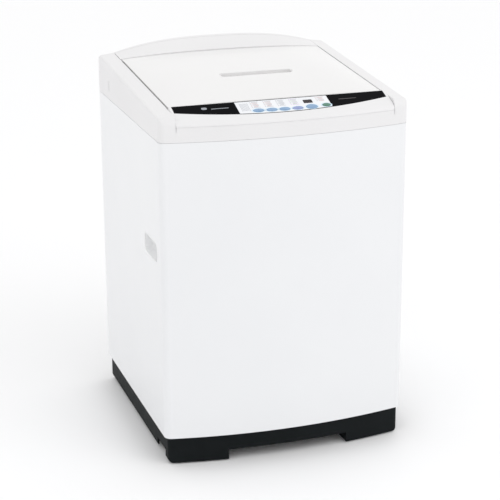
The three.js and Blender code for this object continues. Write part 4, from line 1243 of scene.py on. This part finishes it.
def makeRings():
    low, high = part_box("balance_ring")
    r = drum["radius"]
    a, b = low.z, high.z
    profile = closed([(r - 0.022, a + 0.005), (r - 0.0215, a + 0.002), (r - 0.018, a), (r, a),
                      (r + 0.0025, a + 0.001), (r + 0.003, a + 0.004), (r + 0.003, b - 0.005),
                      (r + 0.002, b - 0.0015), (r - 0.001, b), (r - 0.007, b), (r - 0.0078, b - 0.0012),
                      (r - 0.0092, b - 0.0012), (r - 0.010, b), (r - 0.014, b), (r - 0.0185, b - 0.0015),
                      (r - 0.0212, b - 0.0045), (r - 0.022, b - 0.009)])
    finishPiece(turned(profile, tubAxis, 96), "balanceRing", "basket", "pulsatorPlastic",
                ["balance_ring"])
    r, a = drum["ringRadius"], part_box("tub_ring")[0].z + 0.012
    profile = closed([(r - 0.042, a + 0.018), (r - 0.0425, a + 0.0195), (r - 0.0415, a + 0.021),
                      (r - 0.034, a + 0.0205), (r - 0.028, a + 0.021), (r - 0.009, a + 0.021),
                      (r - 0.005, a + 0.020), (r + 0.008, a + 0.007), (r + 0.0103, a + 0.003), (r + 0.011, a),
                      (r + 0.011, a - 0.012), (r + 0.0086, a - 0.012), (r + 0.0086, a), (r - 0.008, a),
                      (r - 0.008, a + 0.018)])
    finishPiece(turned(profile, tubAxis, 96), "tubRing", "tub", "tubPlastic", ["tub_ring"])


pulsatorForm = dict(radius=0.168, low=0.223, vanes=6, vaneSteps=16, twist=0.42,
                    vaneStart=0.022, vaneReach=0.130, vaneRim=0.006, vaneHub=0.036,
                    vaneHalf=0.011, vaneSink=0.004)


def vaneBlock(turn):
    # one sweeping vane, tall at the hub and low at the rim, leaning as it goes out
    p = pulsatorForm

    def place(s, t, isTop):
        reach = p["vaneStart"] + p["vaneReach"] * t
        high = p["vaneRim"] * (1 + math.sin(math.pi * t)) + p["vaneHub"] * (1 - t) ** 1.3
        wide = p["vaneHalf"] * (1 - 0.35 * t) * (0.45 if isTop else 1)
        angle = turn + p["twist"] * t ** 1.5
        along = Vector((math.cos(angle), math.sin(angle), 0))
        aside = Vector((-along.y, along.x, 0))
        at = along * reach + aside * wide * (s - 0.5) * 2
        crown = 1 - 0.25 * (2 * s - 1) ** 2
        z = p["low"] + p["vaneSink"] + (high * crown if isTop else 0)
        return at.x + tubAxis[0], at.y + tubAxis[1], z
    return drapedBlock(5, p["vaneSteps"], place)


def makePulsator():
    p = pulsatorForm
    r, low = p["radius"], p["low"]
    rise = [(0.0083, 0), (r - 0.008, 0), (r - 0.002, 0.0015), (r, 0.005), (r - 0.001, 0.0075),
            (r - 0.006, 0.009), (0.140, 0.0085), (0.128, 0.0105), (0.110, 0.0120), (0.085, 0.0165),
            (0.065, 0.0215), (0.050, 0.026), (0.036, 0.034), (0.028, 0.0415), (0.0255, 0.044), (0.0083, 0.044)]
    body = turned(closed([(radius, low + z) for radius, z in rise]), tubAxis, 96)
    vanes = [vaneBlock(i * 2 * math.pi / p["vanes"]) for i in range(p["vanes"])]
    piece = fuseWith(body, *vanes)
    roundEdges(piece, 0.0008, 2, 45)
    finishPiece(piece, "pulsatorDisc", "agitation", "pulsatorPlastic", ["pulsator"], 40)
    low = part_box("pulsator_cap")[0].z
    rise = [(0, 0), (0.0236, 0), (0.024, 0.0006), (0.0235, 0.003), (0.0222, 0.0056), (0.0185, 0.0084),
            (0.0135, 0.0106), (0.0128, 0.0100), (0.0118, 0.0100), (0.011, 0.0110), (0.006, 0.0118), (0, 0.012)]
    cap = turned([(radius, low + z) for radius, z in rise], tubAxis, 64)
    finishPiece(cap, "pulsatorCap", "agitation", "tubPlastic", ["pulsator_cap"])


lint = dict(side=0.007, end=0.009, frameDeep=0.006, radius=0.008, barHalf=0.0005, uprights=9, crossBars=17,
            uprightFace=0.0014, crossFace=0.0030, barThick=0.0012)


def makeLintFilter():
    f, h = lint, lint["barHalf"]
    low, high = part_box("lint_filter")
    face = low.y
    frameBlock = roundedBlock(low, (high.x, high.y - 0.0005, high.z), f["radius"], "y", 6)
    window = roundedBlock((low.x + f["side"], face - 0.002, low.z + f["end"]),
                          (high.x - f["side"], face + f["frameDeep"], high.z - f["end"]), 0.005, "y", 5)
    cutWith(frameBlock, window)
    roundEdges(frameBlock, 0.0008, 2, 50)
    bars = []
    y = face + f["uprightFace"]
    for i in range(f["uprights"]):
        x = low.x + 0.010 + i * (high.x - low.x - 0.020) / (f["uprights"] - 1)
        bars.append(block((x - h, y, low.z + 0.006), (x + h, y + f["barThick"], high.z - 0.006)))
    y = face + f["crossFace"]
    for i in range(f["crossBars"]):
        z = low.z + 0.013 + i * (high.z - low.z - 0.026) / (f["crossBars"] - 1)
        bars.append(block((low.x + 0.004, y, z - h), (high.x - 0.004, y + 2 * h, z + h)))
    finishPiece(gather([frameBlock, *bars]), "lintFilter", "basket", "pulsatorPlastic",
                ["lint_filter"])


deckForm = dict(leverHigh=0.006, spoutWall=0.003, spoutRound=0.006, ribX=(-0.014, 0, 0.014), ribHalf=0.0009)


def makeDeckParts():
    f, wall = deckForm, deckForm["spoutWall"]
    low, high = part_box("lid_switch")
    case = roundedBlock(low, (high.x, high.y, high.z - f["leverHigh"]), 0.003, "z", 4)
    roundEdges(case, 0.0008, 2, 50)
    lever = roundedBlock((low.x + 0.010, low.y + 0.006, high.z - f["leverHigh"] - 0.0005),
                         (high.x - 0.010, high.y - 0.006, high.z), 0.0025, "x", 4)
    finishPiece(gather([case, lever]), "lidSwitch", "cabinet", "darkPlastic", ["lid_switch"])
    low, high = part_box("fill_spout")
    spout = roundedBlock(low, high, f["spoutRound"], "z", 5)
    roundEdges(spout, 0.001, 2, 50)
    cutWith(spout, roundedBlock((low.x + wall, low.y - 0.01, low.z + wall),
                                (high.x - wall, high.y - wall, high.z - wall), 0.003, "z", 4))
    ribs = [block((x - f["ribHalf"], low.y + 0.004, low.z + 0.0025),
                  (x + f["ribHalf"], high.y - 0.006, high.z - 0.0025)) for x in f["ribX"]]
    finishPiece(gather([spout, *ribs]), "fillSpout", "cabinet", "pulsatorPlastic",
                ["fill_spout"])
    for side in ("left", "right"):
        node = "lid_bumper_" + side
        low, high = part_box(node)
        centre = ((low.x + high.x) / 2, (low.y + high.y) / 2)
        pad = turned([(0, low.z), (0.0042, low.z), (0.0050, low.z + 0.0006), (0.0056, low.z + 0.002),
                      (0.0060, low.z + 0.004), (0.0060, high.z), (0, high.z)], centre, 32)
        finishPiece(pad, "lidBumper" + side.capitalize(), "lid", "rubber", [node])


makeBasket()
makeRings()
makePulsator()
makeLintFilter()
makeDeckParts()
print("basket and pulsator made")


# CAD parts kept as they are: welded and split at their corners for smooth shading, with real finishes

# the springs get spring steel and any other piece bright steel
keptFinishes = {
    "control_board": "circuitBoard", "drain_pump": "darkPlastic", "pump_impeller": "darkPlastic",
    "drain_hose": "rubber", "outer_tub": "tubPlastic", "sump_boot": "rubber", "gearcase": "castHousing",
    "motor_body": "motorPaint", "motor_bracket": "galvanised", "drive_belt": "rubber",
    "basket_hub": "castHousing", "drive_pulley": "castHousing",
}


def finishKeptNodes():
    for name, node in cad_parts.items():
        if node.hide_render:
            continue
        finish = keptFinishes.get(name, "springSteel" if "spring" in name else "steelBright")
        node.data.materials.clear()
        node.data.materials.append(finishes[finish])
        for face in node.data.polygons:
            face.use_smooth = True
        node.modifiers.new("weld", "WELD").merge_threshold = 0.00001
        node.modifiers.new("edgeSplit", "EDGE_SPLIT").split_angle = math.radians(32)


finishKeptNodes()
print("CAD parts finished")


# Floor, light and camera

studio = dict(floorHalf=12, floorTone=(0.92, 0.92, 0.925), skyStrength=1.06, keyPower=34, keySize=3.0,
              keyPlace=(2.6, -3.4, 3.6), fillPower=6, fillSize=4.0, fillPlace=(-4.0, -1.5, 2.2))
cameraView = dict(place=(-1.2052, -3.6651, 1.697), azimuth=18.205, tilt=18.196, roll=-0.29, lens=115.2)


def makeFloor():
    clearPick()
    bpy.ops.mesh.primitive_plane_add(size=2 * studio["floorHalf"], location=(0, 0, -0.0004))
    floor = bpy.context.object
    floor.name = "floor"
    material = bpy.data.materials.new("floorPaper")
    material.use_nodes = True
    shader = material.node_tree.nodes["Principled BSDF"]
    shader.inputs["Base Color"].default_value = (*studio["floorTone"], 1)
    shader.inputs["Roughness"].default_value = 0.6
    floor.data.materials.append(material)


def addAreaLight(name, place, size, power):
    clearPick()
    bpy.ops.object.light_add(type="AREA", location=place)
    lamp = bpy.context.object
    lamp.name = name
    lamp.data.size = size
    lamp.data.energy = power
    aim = Vector((0, 0, 0.45)) - Vector(place)
    lamp.rotation_euler = aim.to_track_quat("-Z", "Y").to_euler()


def makeWorld():
    world = bpy.data.worlds.new("studio")
    world.use_nodes = True
    sky = world.node_tree.nodes["Background"]
    sky.inputs["Color"].default_value = (1, 1, 1, 1)
    sky.inputs["Strength"].default_value = studio["skyStrength"]
    bpy.context.scene.world = world
    bpy.context.scene.view_settings.view_transform = "Standard"


def makeCamera():
    c = cameraView
    azimuth, tilt, roll = (math.radians(c[k]) for k in ("azimuth", "tilt", "roll"))
    ahead = Vector((math.sin(azimuth) * math.cos(tilt), math.cos(azimuth) * math.cos(tilt), -math.sin(tilt)))
    level = Vector((math.cos(azimuth), -math.sin(azimuth), 0))
    upright = level.cross(ahead)
    right = level * math.cos(roll) + upright * math.sin(roll)
    up = upright * math.cos(roll) - level * math.sin(roll)
    clearPick()
    bpy.ops.object.camera_add(location=c["place"])
    camera = bpy.context.object
    camera.name = "camera"
    camera.rotation_euler = Matrix((right, up, -ahead)).transposed().to_euler()
    camera.data.lens = c["lens"]
    camera.data.sensor_width = 36
    camera.data.clip_end = 60
    bpy.context.scene.camera = camera


makeFloor()
addAreaLight("keyLight", studio["keyPlace"], studio["keySize"], studio["keyPower"])
addAreaLight("fillLight", studio["fillPlace"], studio["fillSize"], studio["fillPower"])
makeWorld()
makeCamera()
print("studio made")
